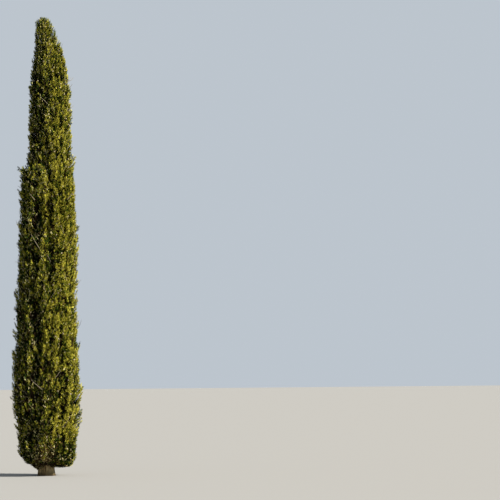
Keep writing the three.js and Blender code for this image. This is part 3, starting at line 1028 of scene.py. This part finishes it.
class PatchKind(Enum):
    """What a patch by chance is: how many there are, and the value or the range of each of its sizes."""

    # Tones of hollows and holes are painted shade, those of plumes painted light.
    TUFT = (8, (-15, 195), (0.5, 8.7), (5, 14), (0.08, 0.12), (-0.07,), (0.0,))
    PLUME = (12, (-15, 195), (0.5, 8.7), (5, 14), (0.12, 0.38), (-0.03,), (0.14, 0.28))
    HOLLOW = (28, (-15, 195), (0.5, 8.7), (5, 14), (0.12, 0.38), (0.07, 0.14), (-0.42, -0.22))
    HOLE = (170, (-180, 180), (0.5, 9.0), (4, 8), (0.05, 0.13), (0.07, 0.16), (-0.50, -0.25))

    def patches(self, rng: Chance) -> list[Patch]:
        """All of its kind: holes on any side, the others on the sides and the back.

        Args:
            rng: Source of chance.

        Returns:
            The patches.
        """
        count, *sizes = self.value
        return [
            Patch(*(rng.uniform(*size) if len(size) == 2 else size[0] for size in sizes))
            for _ in range(count)
        ]


# The front's patches: their tones paint shade in hollows and on the side away from the key light, and light
# on plumes and on the side towards it.
FRONT_PATCHES = tuple(
    Patch(*sizes)
    for sizes in (
        (-128, 8.04, 14, 0.33, 0.04, -0.16), (-79, 8.35, 18, 0.19, 0.06, -0.18),
        (-104, 7.90, 13, 0.26, 0.09, -0.30), (-82, 7.54, 14, 0.14, 0.11, -0.36),
        (-121, 7.36, 16, 0.24, 0.08, -0.26), (-99, 6.59, 9, 0.40, 0.14, -0.42),
        (-21, 6.49, 21, 0.10, 0.08, -0.24), (-88, 5.52, 7, 0.55, 0.13, -0.42),
        (-111, 5.27, 13, 0.44, 0.14, -0.42), (-84, 4.45, 8, 0.58, 0.13, -0.40),
        (-113, 4.46, 10, 0.32, 0.13, -0.38), (-110, 3.44, 11, 0.40, 0.14, -0.42),
        (-68, 3.48, 6, 0.09, 0.12, -0.40), (-62, 2.73, 6, 0.40, 0.14, -0.42),
        (-104, 2.86, 8, 0.32, 0.12, -0.38), (-110, 2.25, 10, 0.28, 0.11, -0.34),
        (-102, 1.60, 12, 0.31, 0.13, -0.38), (-110, 1.00, 20, 0.35, 0.07, -0.22),
        (-60, 1.48, 6, 0.26, 0.12, -0.44), (-52, 0.42, 44, 0.26, 0.02, -0.28),
        (-122, 5.00, 14, 0.60, 0, -0.12), (-42, 1.24, 36, 0.50, 0, 0.36), (0, 5.80, 32, 0.50, 0.06, 0),
        (180, 3.05, 35, 0.40, 0.05, 0), (-80, 6.78, 22, 0.40, -0.03, 0.22),
        (-116, 6.06, 9, 0.25, -0.03, 0.28), (-101, 5.57, 7, 0.28, -0.03, 0.28),
        (-111, 3.88, 7, 0.14, -0.03, 0.22), (-77, 3.30, 15, 0.32, -0.02, 0.18),
        (-77, 1.50, 13, 0.50, -0.02, 0.22), (-72, 2.40, 16, 0.55, -0.01, 0.14),
        (-45, 5.10, 26, 0.80, -0.01, 0.10), (-90, 8.95, 60, 0.35, 0, 0.10),
        (-82, 7.90, 34, 0.90, 0, 0.05), (-86, 6.05, 36, 1.10, 0, 0.17), (-78, 3.60, 26, 1.10, 0, 0.07),
        (-101, 6.00, 19, 1.50, 0, 0.10), (-78, 4.90, 16, 1.50, 0, -0.06),
        (-160, 8.90, 45, 0.60, 0, -0.26), (-150, 8.00, 40, 0.60, 0, -0.08),
        (-174, 8.05, 42, 0.34, -0.080, 0), (-176, 6.20, 30, 0.20, -0.045, -0.05),
        (180, 6.54, 30, 0.10, -0.030, -0.05), (0, 6.56, 30, 0.20, -0.050, 0),
        (180, 4.98, 26, 0.12, -0.035, 0), (-178, 1.08, 32, 0.10, 0.060, 0),
        (180, 3.06, 26, 0.07, 0.060, 0), (180, 2.44, 26, 0.07, 0.035, 0), (0, 2.44, 22, 0.07, 0.035, 0),
        (0, 4.06, 22, 0.08, 0.035, 0), (0, 4.80, 20, 0.07, 0.055, 0), (-152, 5.20, 26, 4.60, 0, -0.12),
        (-150, 2.60, 28, 1.90, 0, -0.14), (-20, 5.35, 24, 0.80, 0, 0.14), (-30, 8.30, 35, 1.00, 0, -0.08),
        (-88, 5.00, 22, 4.40, 0, 0.045), (-28, 0.46, 42, 0.34, 0, -0.34), (-92, 0.46, 26, 0.28, 0, -0.14),
        (-30, 2.60, 25, 0.65, 0, 0.11), (-66, 1.22, 22, 0.36, 0, 0.32), (-150, 0.50, 32, 0.28, 0, -0.12),
        (-170, 1.50, 18, 0.17, -0.075, 0), (-12, 1.70, 16, 0.15, -0.080, 0),
        (-6, 1.22, 15, 0.16, -0.060, 0), (-164, 3.39, 16, 0.08, -0.07, -0.05),
        (-166, 2.88, 12, 0.06, -0.040, -0.05), (-6, 5.07, 12, 0.08, -0.10, 0),
        (180, 7.22, 36, 0.55, -0.028, 0), (-4, 7.16, 30, 0.34, -0.036, 0),
        (180, 5.72, 32, 0.56, -0.030, 0), (180, 8.55, 32, 0.34, -0.018, 0),
        (180, 3.92, 28, 0.52, -0.024, 0), (180, 6.15, 24, 0.07, -0.045, 0), (0, 4.28, 24, 0.13, 0.035, 0),
        (-6, 1.46, 16, 0.06, 0.045, 0),
    )
)


PATCH_SEED = 31


def all_patches() -> tuple[Patch, ...]:
    """The front's patches, placed as on the tree, as many to the degree elsewhere, and the holes."""
    rng = np.random.default_rng(PATCH_SEED)
    return FRONT_PATCHES + tuple(patch for kind in PatchKind for patch in kind.patches(rng))


@dataclass(frozen=True)
class BareTwig:
    """A weathered twig without leaves, from inside the crown to its surface or out of it.

    Attributes:
        turn: Turn of its foot, in degrees.
        height: Height of its foot, in metres.
        to_turn: Turn of its tip, in degrees.
        to_height: Height of its tip, in metres.
        outward: How far the tip stands out of the crown's outline, in metres.
        bend: Place of its bend, as a share of its length.
        foot_outward: How far the foot stands out of the outline, below 0 for inside.
        bend_outward: The same for the bend, before its share of the tip's is added.
    """

    turn: float
    height: float
    to_turn: float
    to_height: float
    outward: float
    bend: float = 0.4
    foot_outward: float = -0.10
    bend_outward: float = -0.02

    def path(self) -> Array:
        """The line of the twig.

        Returns:
            Its foot, bend and tip, (3, 3).
        """
        share = np.array([0.0, self.bend, 1.0])
        turn = np.radians(mix(self.turn, self.to_turn, share))
        height = mix(self.height, self.to_height, share)
        at_bend = mix(self.bend_outward, self.outward, self.bend)
        radius = CROWN.radius(turn, height) + np.array([self.foot_outward, at_bend, self.outward])
        flat = CROWN.axis(height) + radius[:, None] * compass(turn)[0][:, :2]
        return np.concatenate([flat, height[:, None]], -1)


FRONT_TWIGS = tuple(
    BareTwig(*sizes)
    for sizes in (
        (-97, 1.74, -115, 1.95, 0.025), (-132, 1.69, -142, 1.81, 0.02), (-104, 4.54, -124, 4.90, 0.025),
        (-83, 4.34, -93, 4.49, 0.02), (-98, 7.60, -118, 7.74, 0.02), (-6, 8.10, 0, 8.21, 0.085),
        (8, 8.00, 4, 8.08, 0.045), (-12, 7.52, -6, 7.62, 0.055), (4, 3.86, 0, 4.00, 0.085),
        (176, 6.05, 180, 6.15, 0.075), (-172, 5.86, -178, 5.94, 0.065), (178, 4.28, -178, 4.37, 0.060),
        (-170, 4.62, -176, 4.70, 0.040),
    )
)

SECTION_ACROSS = (-1.0, -0.68, -0.36, 0.02, 0.38, 0.70, 1.0)
SECTION_DEPTH = (0.66, 0.92, 0.68, 1.0, 0.70, 0.94, 0.68)
SECTION_LOW, SECTION_RISE = 0.66, 0.34
PLUMES = (-0.68, 0.02, 0.70)
# Turn of the side towards the key light, whose sprays are dealt lighter tints: painted sunlight.
PAINTED_SUN_TURN = -0.5


@dataclass
class Seats:
    """Where the tufts of a mass stand.

    Attributes:
        turn: Their turns about the trunk, (n,).
        layer: Their layers, (n,).
        across: Their places across the mass, -1 to 1, (n,).
        plume: The plume that each belongs to, (n,).
        reach: Radius where their layers meet the outline, (n,).
        small: Size of the sprays where the crown is narrow.
        narrow: Radius of the crown there, and where they are whole.
    """

    turn: Array
    layer: Array
    across: Array
    plume: Array
    reach: Array
    small: float = 0.72
    narrow: tuple = (0.26, 0.6)

    @classmethod
    def at(cls, turn: Array, layer: Array, across: Array) -> "Seats":
        """The seats at turns, layers and places across, each in the nearest plume."""
        plume = np.argmin(np.abs(across[:, None] - np.array(PLUMES)), axis=1)
        return cls(turn, layer, across, plume, CROWN.reach(turn, layer))

    def __len__(self) -> int:
        """How many there are."""
        return len(self.turn)

    @property
    def height(self) -> Array:
        """Where their layers meet the outline."""
        return self.layer + CROWN.steep(self.layer) * self.reach

    @property
    def size(self) -> Array:
        """Size of their sprays, smaller where the crown is narrow."""
        return mix(self.small, 1.0, smooth(*self.narrow, self.reach))


@dataclass
class Mass:
    """One mass of foliage: a limb, three plumes that rise in it, and tufts of sprays on twigs.

    A tuft's tip lies on the mass's ridged surface. The radius there is a share of the layer's reach that
    grows with the section's depth, plus a saw-tooth along the plume, so that each flame of the plume swells
    upwards and ends in front of the next one.
    """

    cell: Cell
    patches: tuple[Patch, ...]
    limb_from: float = 0.0
    pitch_round: float = 0.060
    pitch_up: float = 0.068
    end_gaps: tuple = (0.03, 0.02)
    stagger: float = 0.25
    chance_round: float = 0.35
    chance_up: float = 0.5
    cleft: float = 0.83
    flame_length: float = 0.62
    flame_depth: float = 0.050
    flame_middle: float = 0.55
    flames_from: tuple = (0.2, 0.5)
    uneven: tuple = (0.007, 0.010)
    uneven_from: tuple = (0.3, 1.2)
    proud: float = 0.016
    size_range: tuple = (0.85, 1.15)
    tuft_length: float = 0.150
    lean: float = 0.30
    foot_lean: float = 0.85
    top_lean: float = 0.22
    body_from: tuple = (0.15, 1.1)
    top_from: tuple = (7.4, 8.8)
    patch_lean: float = 10.0
    lean_chance: float = 0.08
    sway: float = 0.42
    heart: float = 0.54
    tone: float = 0.465
    ridge_tone: float = 0.40
    flame_tone: float = 0.26
    tone_chance: float = 0.27
    painted_sun: float = 0.155
    box_gap: tuple = (0.010, 0.016)
    low_edge: tuple = (0.175, 0.245)
    low_slope: float = 0.140
    sloped_within: tuple = (0.37, 0.20)
    front: tuple = (1.54, 0.65)
    front_gap: float = 0.085
    shortest: float = 0.05
    inside: tuple = (0.32, 0.0)
    inside_below: tuple = (1.0, 0.4)
    inside_dead: float = 0.75
    foot_turn: tuple = (1.49, 0.50)
    foot_below: tuple = (0.90, 0.45)
    foot_dead: float = 0.66
    browned: float = 0.035
    inner_share: tuple = (0.95, 0.42)
    inner_thins: tuple = (0.8, 2.2)
    inner_depth: tuple = (0.42, 0.83)
    inner_size: float = 1.6
    inner_tone: tuple = (-0.20, 0.08)
    inner_lean: float = 0.35
    inner_dead: float = 0.05
    under_count: int = 44
    under_layers: tuple = (0.0, 0.20)
    under_size: tuple = (0.6, 0.85)
    under_tone: tuple = (0.12, 0.42)
    under_lean: float = 2.2
    under_radius: float = 0.24
    under_rim: float = 0.03
    under_from: float = 0.20
    under_reach: float = 0.25
    under_dead: float = 0.85
    under_dead_within: tuple = (0.48, 0.22)
    home_gaps: tuple = (0.08, 0.1)
    stem_radii: tuple = (0.027, 0.015)
    upper_stem: tuple = (0.36, 0.030)
    branch_radii: tuple = (0.012, 0.004)
    branch_ends: tuple = (0.10, 0.90)
    branch_start: float = 0.12
    points: int = 8

    @property
    def name(self) -> str:
        """Tier and column, as in the names of the solids."""
        return f"tier{self.cell.tier}_{self.cell.column + 1}"

    def seats(self, rng: Chance) -> tuple[Array, Array, Array]:
        """Staggered rows of seats, each shifted by chance.

        Args:
            rng: Source of chance.

        Returns:
            Turns, layers and places across of the seats.
        """
        low, high = self.cell.span
        low_gap, high_gap = self.end_gaps
        rows = np.arange(low + low_gap, high - high_gap, self.pitch_up)
        turns, layers = [], []
        for index, layer in enumerate(rows):
            left, right = (float(edge) for edge in self.cell.edges(np.array(layer)))
            reach = float(CROWN.reach((left + right) / 2.0, layer))
            count = max(1, round((right - left) * reach / self.pitch_round))
            shift = self.stagger if index % 2 else -self.stagger
            moved = rng.uniform(-self.chance_round, self.chance_round, count)
            share = (np.arange(count) + 0.5 + shift + moved) / count
            turns.append(left + np.clip(share, 0.0, 1.0) * (right - left))
            layers.append(layer + rng.uniform(-self.chance_up, self.chance_up, count) * self.pitch_up)
        turn, layer = np.concatenate(turns), np.clip(np.concatenate(layers), low, high)
        left, right = self.cell.edges(layer)
        across = (turn - (left + right) / 2.0) / np.maximum((right - left) / 2.0, 1e-6)
        return turn, layer, np.clip(across, -1.0, 1.0)

    def outer_tufts(self, rng: Chance) -> Tufts:
        """The tufts that make the mass's surface.

        Args:
            rng: Source of chance.

        Returns:
            The tufts.
        """
        seats = Seats.at(*self.seats(rng))
        count, turn, layer, reach, height = len(seats), seats.turn, seats.layer, seats.reach, seats.height
        depth = np.interp(seats.across, SECTION_ACROSS, SECTION_DEPTH)
        relief = np.clip((depth - SECTION_LOW) / SECTION_RISE, 0.0, 1.0)
        starts = np.array([chance(self.cell.seed, index, 6) for index in range(len(PLUMES))])
        flame = np.mod(layer / self.flame_length + starts[seats.plume], 1.0)
        swell = self.flame_depth * (flame - self.flame_middle) * smooth(*self.flames_from, reach)
        uneven = rng.normal(0.0, mix(*self.uneven, smooth(*self.uneven_from, layer)), count)
        radius = reach * mix(self.cleft, 1.0, relief) + swell + uneven
        radius = np.minimum(radius, reach + self.proud)
        size = seats.size * rng.uniform(*self.size_range, count)
        # Painted light and shade: sprays on ridges and on the upper ends of flames, which stand out, are
        # dealt lighter tints, those in clefts and under each flame darker.
        tone = self.tone + self.ridge_tone * (relief - 0.5) + self.flame_tone * (flame - 0.5)
        # Painted sunlight: sprays on the side towards the key light are dealt lighter tints.
        tone += self.painted_sun * np.cos(turn - PAINTED_SUN_TURN)
        tone += rng.normal(0.0, self.tone_chance, count)
        outward = np.zeros(count)
        # Each patch sets tufts in or out and adds its painted light or shade to their tone.
        for patch in self.patches:
            share = patch.share(turn, height)
            radius -= patch.inward * share
            outward += max(0.0, -patch.inward) * share
            tone += patch.tone * share
        lean = mix(self.foot_lean, self.lean, smooth(*self.body_from, layer))
        lean = mix(lean, self.top_lean, smooth(*self.top_from, layer)) + self.patch_lean * outward
        lean += rng.normal(0.0, self.lean_chance, count)
        return self._stand(seats, CROWN.place(turn, layer, radius), lean, size, tone, rng)

    def inner_tufts(self, rng: Chance) -> Tufts:
        """Sparse tufts further in, dark as painted shade, which close the mass behind its surface.

        Args:
            rng: Source of chance.

        Returns:
            The tufts.
        """
        places = self.seats(rng)
        share = mix(*self.inner_share, smooth(*self.inner_thins, places[1]))
        chosen = rng.uniform(size=len(share)) < share
        seats = Seats.at(*(place[chosen] for place in places))
        radius = seats.reach * rng.uniform(*self.inner_depth, len(seats))
        for patch in self.patches:
            radius += max(0.0, -patch.inward) * patch.share(seats.turn, seats.height)
        tip = CROWN.place(seats.turn, seats.layer, radius)
        # Low tones: painted shade inside the mass.
        tone = rng.uniform(*self.inner_tone, len(seats))
        lean = np.full(len(seats), self.inner_lean)
        made = self._stand(seats, tip, lean, self.inner_size * seats.size, tone, rng)
        made.dead = np.maximum(made.dead, self.inner_dead)
        return made

    def under_tufts(self, rng: Chance) -> Tufts:
        """Tufts that close the foot of the crown from below, brown near the trunk.

        Args:
            rng: Source of chance.

        Returns:
            The tufts.
        """
        count, lowest = self.under_count, LEVELS[0]
        turn = rng.uniform(*(float(edge) for edge in self.cell.edges(np.array(lowest))), count)
        reach = CROWN.reach(turn, np.full(count, lowest + self.under_rim))
        share = rng.uniform(self.under_from**2, 1.0, count)
        radius = np.sqrt(share * np.maximum(reach, self.under_reach) ** 2)
        radius = np.clip(radius, self.under_radius, None)
        layer = lowest + rng.uniform(*self.under_layers, count)
        size = rng.uniform(*self.under_size, count)
        # Tones below the surface's: painted shade under the crown.
        tone = rng.uniform(*self.under_tone, count)
        seats = Seats(turn, layer, np.zeros(count), rng.integers(0, len(PLUMES), count), reach)
        tip = CROWN.place(turn, layer, radius)
        made = self._stand(seats, tip, np.full(count, self.under_lean), size, tone, rng)
        made.dead = self.under_dead * smooth(*self.under_dead_within, radius)
        return made

    def _stand(self, seats: Seats, tip: Array, lean: Array, size: Array, tone: Array, rng: Chance) -> Tufts:
        """Stands tufts below their tips, and leads their twigs back to the nearest plume's limb.

        The foot of the crown is raised towards the trunk at the left and in front, and browned there.

        Args:
            seats: Their seats.
            tip: Their tips, (n, 3).
            lean: How far outwards they lean for each metre up, (n,).
            size: Size of their sprays, (n,).
            tone: How light their sprays are, (n,).
            rng: Source of chance.

        Returns:
            The tufts.
        """
        turn = seats.turn
        out, round_ = compass(turn)
        sway = rng.uniform(-self.sway, self.sway, len(turn))
        along = unit(UP + lean[:, None] * out + sway[:, None] * round_)
        gap = np.array(self.box_gap)
        tip[:, :2] = np.clip(tip[:, :2], *(np.array(CAD_BOX)[:, :2] + np.array([gap, -gap])))
        foot = tip - along * (self.tuft_length * size)[:, None]
        from_axis = np.hypot(tip[:, 0], tip[:, 1])
        left = (1.0 - np.cos(turn)) / 2.0
        low_edge = mix(*self.low_edge, left) + self.front_gap * near(turn, *self.front)
        low_edge -= self.low_slope * left * smooth(*self.sloped_within, from_axis)
        foot[:, 2] = np.maximum(foot[:, 2], low_edge)
        tip[:, 2] = np.maximum(tip[:, 2], foot[:, 2] + self.shortest)
        low, high = self.cell.span
        low_gap, high_gap = self.home_gaps
        home = np.clip(seats.layer - high_gap, low + low_gap, high - high_gap)
        across = np.array(PLUMES)[seats.plume]
        anchor = CROWN.place(self.cell.turn_across(home, across), home, seats.reach * self.heart)
        inside = smooth(*self.inside, from_axis) * smooth(*self.inside_below, tip[:, 2])
        at_foot = near(turn, *self.foot_turn) * smooth(*self.foot_below, tip[:, 2])
        dead = np.maximum(self.inside_dead * inside, self.foot_dead * at_foot)
        return Tufts(anchor, foot, tip, out, size, tone, np.maximum(dead, self.browned))

    def limbs(self, trunk: Trunk) -> tuple[Array, Array, Array, Array]:
        """The stem and the limbs inside the plumes.

        Args:
            trunk: The trunk, whose girth bounds the stem's.

        Returns:
            Path and radii of the stem, then those of the limbs that go up and down each plume from its end.
        """
        cell = self.cell
        limb = Limb(cell)
        foot, _, end = limb.line
        (thick, thin), (share, most) = self.stem_radii, self.upper_stem
        if not cell.lowest:
            thick = min(most, float(trunk.radius(foot[2])) * share)
        stem = limb.path(np.linspace(self.limb_from, 1.0, self.points))[None]
        paths = []
        for across in PLUMES:
            for end_share in self.branch_ends:
                steps = np.linspace(self.branch_start, 1.0, self.points - 1)
                home = mix(cell.middle, mix(*cell.span, end_share), steps)
                turn = cell.turn_across(home, across)
                line = CROWN.place(turn, home, CROWN.reach(turn, home) * self.heart)
                paths.append(np.concatenate([end[None], line]))
        stem_radii = np.linspace(thick, min(thin, thick), self.points)
        return stem, stem_radii, np.array(paths), np.linspace(*self.branch_radii, self.points)


@dataclass
class Leader:
    """The leader: a blunt plume of upright tufts round the trunk's tip, with a crest at the top."""

    name: str = "leader"
    count: int = 190
    foot: float = 8.99
    top: float = 9.46
    crowding: float = 0.85
    fullness: tuple = (0.80, 1.12)
    shift: float = -0.014
    crest: int = 60
    crest_height: tuple = (9.472, -0.0018)
    crest_radius: tuple = (0.028, 0.0019)
    crest_shift: tuple = (-0.036, -0.0004)
    crest_tone: float = 0.10
    tone: float = 0.38
    tone_chance: float = 0.16
    painted_sun: float = 0.15
    lean: tuple = (0.08, 0.34)
    size: tuple = (0.6, 0.8)
    tuft_length: float = 0.20
    anchor_drop: float = 0.1
    lowest_anchor: float = 8.80

    def tufts(self, rng: Chance) -> Tufts:
        """Tufts by the golden angle up the leader's outline, and a crest of them at the top.

        Each crest size is its value at the middle, and how it changes from tuft to tuft outwards.

        Args:
            rng: Source of chance.

        Returns:
            The tufts.
        """
        place, crest = np.arange(self.count), np.arange(self.crest)
        crest_height, crest_radius, crest_shift = (
            first + step * crest for first, step in (self.crest_height, self.crest_radius, self.crest_shift)
        )
        height = mix(self.foot, self.top, ((place + 0.5) / self.count) ** self.crowding)
        radius = CROWN.radius(place * GOLDEN_TURN, height) * rng.uniform(*self.fullness, self.count)
        height = np.concatenate([height, crest_height])
        turn = np.concatenate([place, crest]) * GOLDEN_TURN
        radius = np.concatenate([radius, crest_radius])
        axis = CROWN.axis(height) + np.array([self.shift, 0.0])
        axis[self.count:, 0] += crest_shift
        out = compass(turn)[0]
        tip = np.concatenate([axis + radius[:, None] * out[:, :2], height[:, None]], -1)
        least, more = self.lean
        lean = least + more * rng.uniform(size=len(turn))
        size = rng.uniform(*self.size, len(turn))
        foot = tip - unit(UP + lean[:, None] * out) * self.tuft_length
        anchor_height = np.maximum(foot[:, 2] - self.anchor_drop, self.lowest_anchor)
        anchor = np.concatenate([CROWN.axis(anchor_height), anchor_height[:, None]], -1)
        # Painted sunlight on the leader's side towards the key light, as on the masses.
        tone = self.tone + self.painted_sun * np.cos(turn - PAINTED_SUN_TURN)
        tone = tone + rng.normal(0.0, self.tone_chance, len(turn))
        tone[self.count:] += self.crest_tone
        return Tufts(anchor, foot, tip, out, size, tone, np.zeros(len(turn)))


@dataclass
class Foliage:
    """All the masses and the leader: leaves, twigs and cones, each kind in pieces of its own."""

    trunk: Trunk
    boughs: Boughs
    rule: SprayRule = field(default_factory=SprayRule)
    stem_sides: int = 7
    branch_sides: int = 5
    twig_sides: int = 3
    twig_radii: tuple = (1.25, 1.0, 0.0)
    twig_radius: float = 0.0045
    tip_radius: float = 0.0016
    limb_from: float = 0.03
    bare_twigs: int = 1
    bare_sides: int = 4
    bare_radii: tuple = (0.0050, 0.0042, 0.0022)
    bare_length: tuple = (0.14, 0.26)
    bare_slant: tuple = (0.9, 0.6, 0.35)
    bare_proud: float = 0.03
    bare_bend: float = 0.012
    cones_per_mass: int = 9
    cone_radius: float = 0.0150
    cone_sizes: tuple = (0.8, 1.15)
    cone_sides: int = 8
    cone_rings: int = 6
    cone_bulge: float = 0.13
    cone_along: tuple = (0.25, 0.8)
    cone_out: tuple = (0.015, 0.040)
    cone_scatter: float = 0.012
    first_seed: int = 1000
    leader_seed: int = 77
    triangles: int = 0

    def __post_init__(self) -> None:
        """Makes the materials once, and starts the pieces that all masses share."""
        self.leaf_materials = [LEAF_FINISHES[tint].material() for tint in Tint]
        self.twig_materials = [finish.material() for finish in TWIG_FINISHES]
        self.cone_materials = [finish.material() for finish in CONE_FINISHES]
        self.cones, self.bare = Shape(), Shape()

    def build(self) -> None:
        """Makes every mass, the leader, the cones and the bare twigs."""
        patches = all_patches()
        for tier in range(1, TIERS + 1):
            for column in range(MASSES_PER_TIER):
                cell = Cell(tier, column)
                mass = Mass(cell, patches, self.boughs.ends[column] if cell.lowest else self.limb_from)
                rng = np.random.default_rng(self.first_seed + cell.seed)
                outer = mass.outer_tufts(rng)
                if cell.lowest:
                    outer = Tufts.joined([outer, mass.under_tufts(rng)])
                self._add(mass.name, outer, mass.inner_tufts(rng), mass.limbs(self.trunk), rng)
            LOG.info("tier %d: %d triangles so far", tier, self.triangles)
        rng = np.random.default_rng(self.leader_seed)
        leader = Leader()
        self._add(leader.name, leader.tufts(rng), None, None, rng)
        paths = np.array([twig.path() for twig in FRONT_TWIGS])
        self.bare.add(*tubes(paths, self.bare_radii, self.bare_sides), TwigTint.GREY)
        self.triangles += dress(self.cones.build("cones", self.cone_materials))
        self.triangles += dress(self.bare.build("twigs_bare", self.twig_materials))
        LOG.info("foliage: %d triangles", self.triangles)

    def _add(self, name: str, outer: Tufts, inner: Tufts | None, limbs: tuple | None, rng: Chance) -> None:
        """Makes the leaves and twigs of one mass, and adds its cones and bare twigs to the others.

        Args:
            name: The mass's name.
            outer: The tufts of its surface.
            inner: The tufts further in, or None.
            limbs: Paths and radii of its stem and of its other limbs, or None.
            rng: Source of chance.
        """
        leaves, twigs = Shape(), Shape()
        leaves.add(*self.rule.grow(outer, rng))
        if inner is not None:
            leaves.add(*self.rule.grow(inner, rng, self.rule.inner_per_tuft))
        if limbs is not None:
            twigs.add(*tubes(*limbs[:2], self.stem_sides), TwigTint.BROWN)
            twigs.add(*tubes(*limbs[2:], self.branch_sides), TwigTint.BROWN)
        taper = np.array(self.twig_radii) * self.twig_radius + self.tip_radius
        for tufts in filter(None, (outer, inner)):
            path = np.stack([tufts.anchor, tufts.foot, tufts.tip], axis=1)
            points, faces = tubes(path, taper, self.twig_sides)
            finish = rng.integers(TwigTint.BROWN, TwigTint.GREY, len(path))
            twigs.add(points, faces, finish.repeat(len(faces) // len(path)))
        self._add_bare_twigs(outer, rng)
        self._add_cones(outer, rng)
        node = f"foliage_{name}"
        self.triangles += dress(leaves.build(f"leaves_{name}", self.leaf_materials), node)
        self.triangles += dress(twigs.build(f"twigs_{name}", self.twig_materials), node)

    def _add_bare_twigs(self, tufts: Tufts, rng: Chance) -> None:
        """Adds a few weathered dead twigs that slant across the surface.

        Args:
            tufts: The tufts that they stand among.
            rng: Source of chance.
        """
        chosen = rng.choice(len(tufts.size), self.bare_twigs, replace=False)
        out = tufts.outward[chosen]
        foot = tufts.foot[chosen] + out * self.bare_proud
        side = np.cross(UP, out) * rng.choice([-1.0, 1.0], (self.bare_twigs, 1))
        length = rng.uniform(*self.bare_length, self.bare_twigs)[:, None]
        up, aside, outward = self.bare_slant
        tip = foot + length * unit(up * UP + aside * side + outward * out)
        path = np.stack([foot, mix(foot, tip, 0.5) + self.bare_bend * out, tip], axis=1)
        self.bare.add(*tubes(path, self.bare_radii, self.bare_sides), TwigTint.GREY)

    def _add_cones(self, tufts: Tufts, rng: Chance) -> None:
        """Adds round cones of a few scales: a sphere's rings, whose radius bulges at each scale.

        Args:
            tufts: The tufts that bear them.
            rng: Source of chance.
        """
        fall = math.pi * (np.arange(self.cone_rings) + 0.25) / (self.cone_rings - 0.5)
        turn = FULL_TURN * np.arange(self.cone_sides) / self.cone_sides
        bulge = 1.0 + self.cone_bulge * np.cos(4.0 * turn)[None, :] * np.cos(3.0 * fall)[:, None]
        ball = np.stack([
            np.sin(fall)[:, None] * np.cos(turn) * bulge,
            np.sin(fall)[:, None] * np.sin(turn) * bulge,
            -np.cos(fall)[:, None] * np.ones(self.cone_sides),
        ], -1).reshape(-1, 3)
        count = self.cones_per_mass
        chosen = rng.choice(len(tufts.size), count, replace=True)
        centre = mix(tufts.foot[chosen], tufts.tip[chosen], rng.uniform(*self.cone_along, (count, 1)))
        centre = centre + tufts.outward[chosen] * rng.uniform(*self.cone_out, (count, 1))
        centre += rng.normal(0.0, self.cone_scatter, (count, 3))
        size = self.cone_radius * rng.uniform(*self.cone_sizes, (count, 1, 1))
        faces = grid_faces(self.cone_rings, self.cone_sides)
        finish = rng.choice(len(CONE_SHARES), count, p=CONE_SHARES).repeat(len(faces))
        self.cones.add(centre[:, None, :] + ball[None] * size, copies(faces, count, len(ball)), finish)


@dataclass
class Studio:
    """A pale floor, a pale sky, one soft key light from the right, and the camera at eye height."""

    eye_height: float = 1.781
    distance: float = 36.24
    focal_pixels: float = 1752.0
    frame_pixels: int = 500
    sensor_width: float = 36.0
    clip_end: float = 4000.0
    tree_column: float = 46.3
    horizon_row: float = 388.0
    floor_half: float = 2000.0
    floor: PlainFinish = PlainFinish("studio_floor", (0.23, 0.226, 0.217), 0.9)
    key_turn: float = 63.0
    key_rise: float = 32.0
    key_strength: float = 13.0
    key_width: float = 8.0
    key_colour: Colour = (1.0, 0.95, 0.86)
    sky_colour: Colour = (0.765, 0.845, 0.93)
    sky_strength: float = 0.66

    def build(self) -> None:
        """Makes the floor, the light, the sky and the camera."""
        shape, half = Shape(), self.floor_half
        corners = np.array([[-half, -half, 0.0], [half, -half, 0.0], [half, half, 0.0], [-half, half, 0.0]])
        shape.add(corners, np.array([[0, 1, 2], [0, 2, 3]]), 0)
        shape.build("studio_floor", [self.floor.material()])
        world = bpy.data.worlds.new("studio_sky")
        bpy.context.scene.world = world
        world.use_nodes = True
        sky = world.node_tree.nodes["Background"]
        sky.inputs["Color"].default_value = (*self.sky_colour, 1.0)
        sky.inputs["Strength"].default_value = self.sky_strength
        bpy.context.scene.view_settings.view_transform = "Standard"
        lamp = bpy.data.lights.new("key", "SUN")
        lamp.energy = self.key_strength
        lamp.angle = math.radians(self.key_width)
        lamp.color = self.key_colour
        key = bpy.data.objects.new("key", lamp)
        key.rotation_euler = (math.radians(90.0 - self.key_rise), 0.0, math.radians(self.key_turn))
        bpy.context.scene.collection.objects.link(key)
        self._camera()

    def _camera(self) -> None:
        """Makes the camera, turned so that the tree stands upright in its column, over the horizon's row.

        In the camera's own axes, forward along the ground at the tree is the ray through its column and the
        horizon's row, and up is the direction square to it that vanishes in that same column.
        """
        data = bpy.data.cameras.new("camera")
        data.sensor_width = self.sensor_width
        data.lens = self.focal_pixels / self.frame_pixels * data.sensor_width
        data.clip_end = self.clip_end
        camera = bpy.data.objects.new("camera", data)
        middle = self.frame_pixels / 2.0
        column, row = self.tree_column - middle, middle - self.horizon_row
        ahead = unit(np.array([column, row, -self.focal_pixels]))
        rise = row / (self.focal_pixels + column**2 / self.focal_pixels)
        up = unit(np.array([-column * rise / self.focal_pixels, 1.0, rise]))
        camera.location = (0.0, -self.distance, self.eye_height)
        camera.rotation_euler = Matrix((np.cross(ahead, up), ahead, up)).to_euler()
        bpy.context.scene.collection.objects.link(camera)
        bpy.context.scene.camera = camera


def main() -> None:
    """Builds the trunk, boughs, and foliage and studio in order."""
    logging.basicConfig(level=logging.INFO, format="%(name)s: %(message)s")
    trunk, boughs = Trunk(), Boughs()
    trunk.build()
    boughs.build()
    Foliage(trunk, boughs).build()
    Studio().build()
    bpy.context.view_layer.update()


if __name__ == "__main__":
    main()
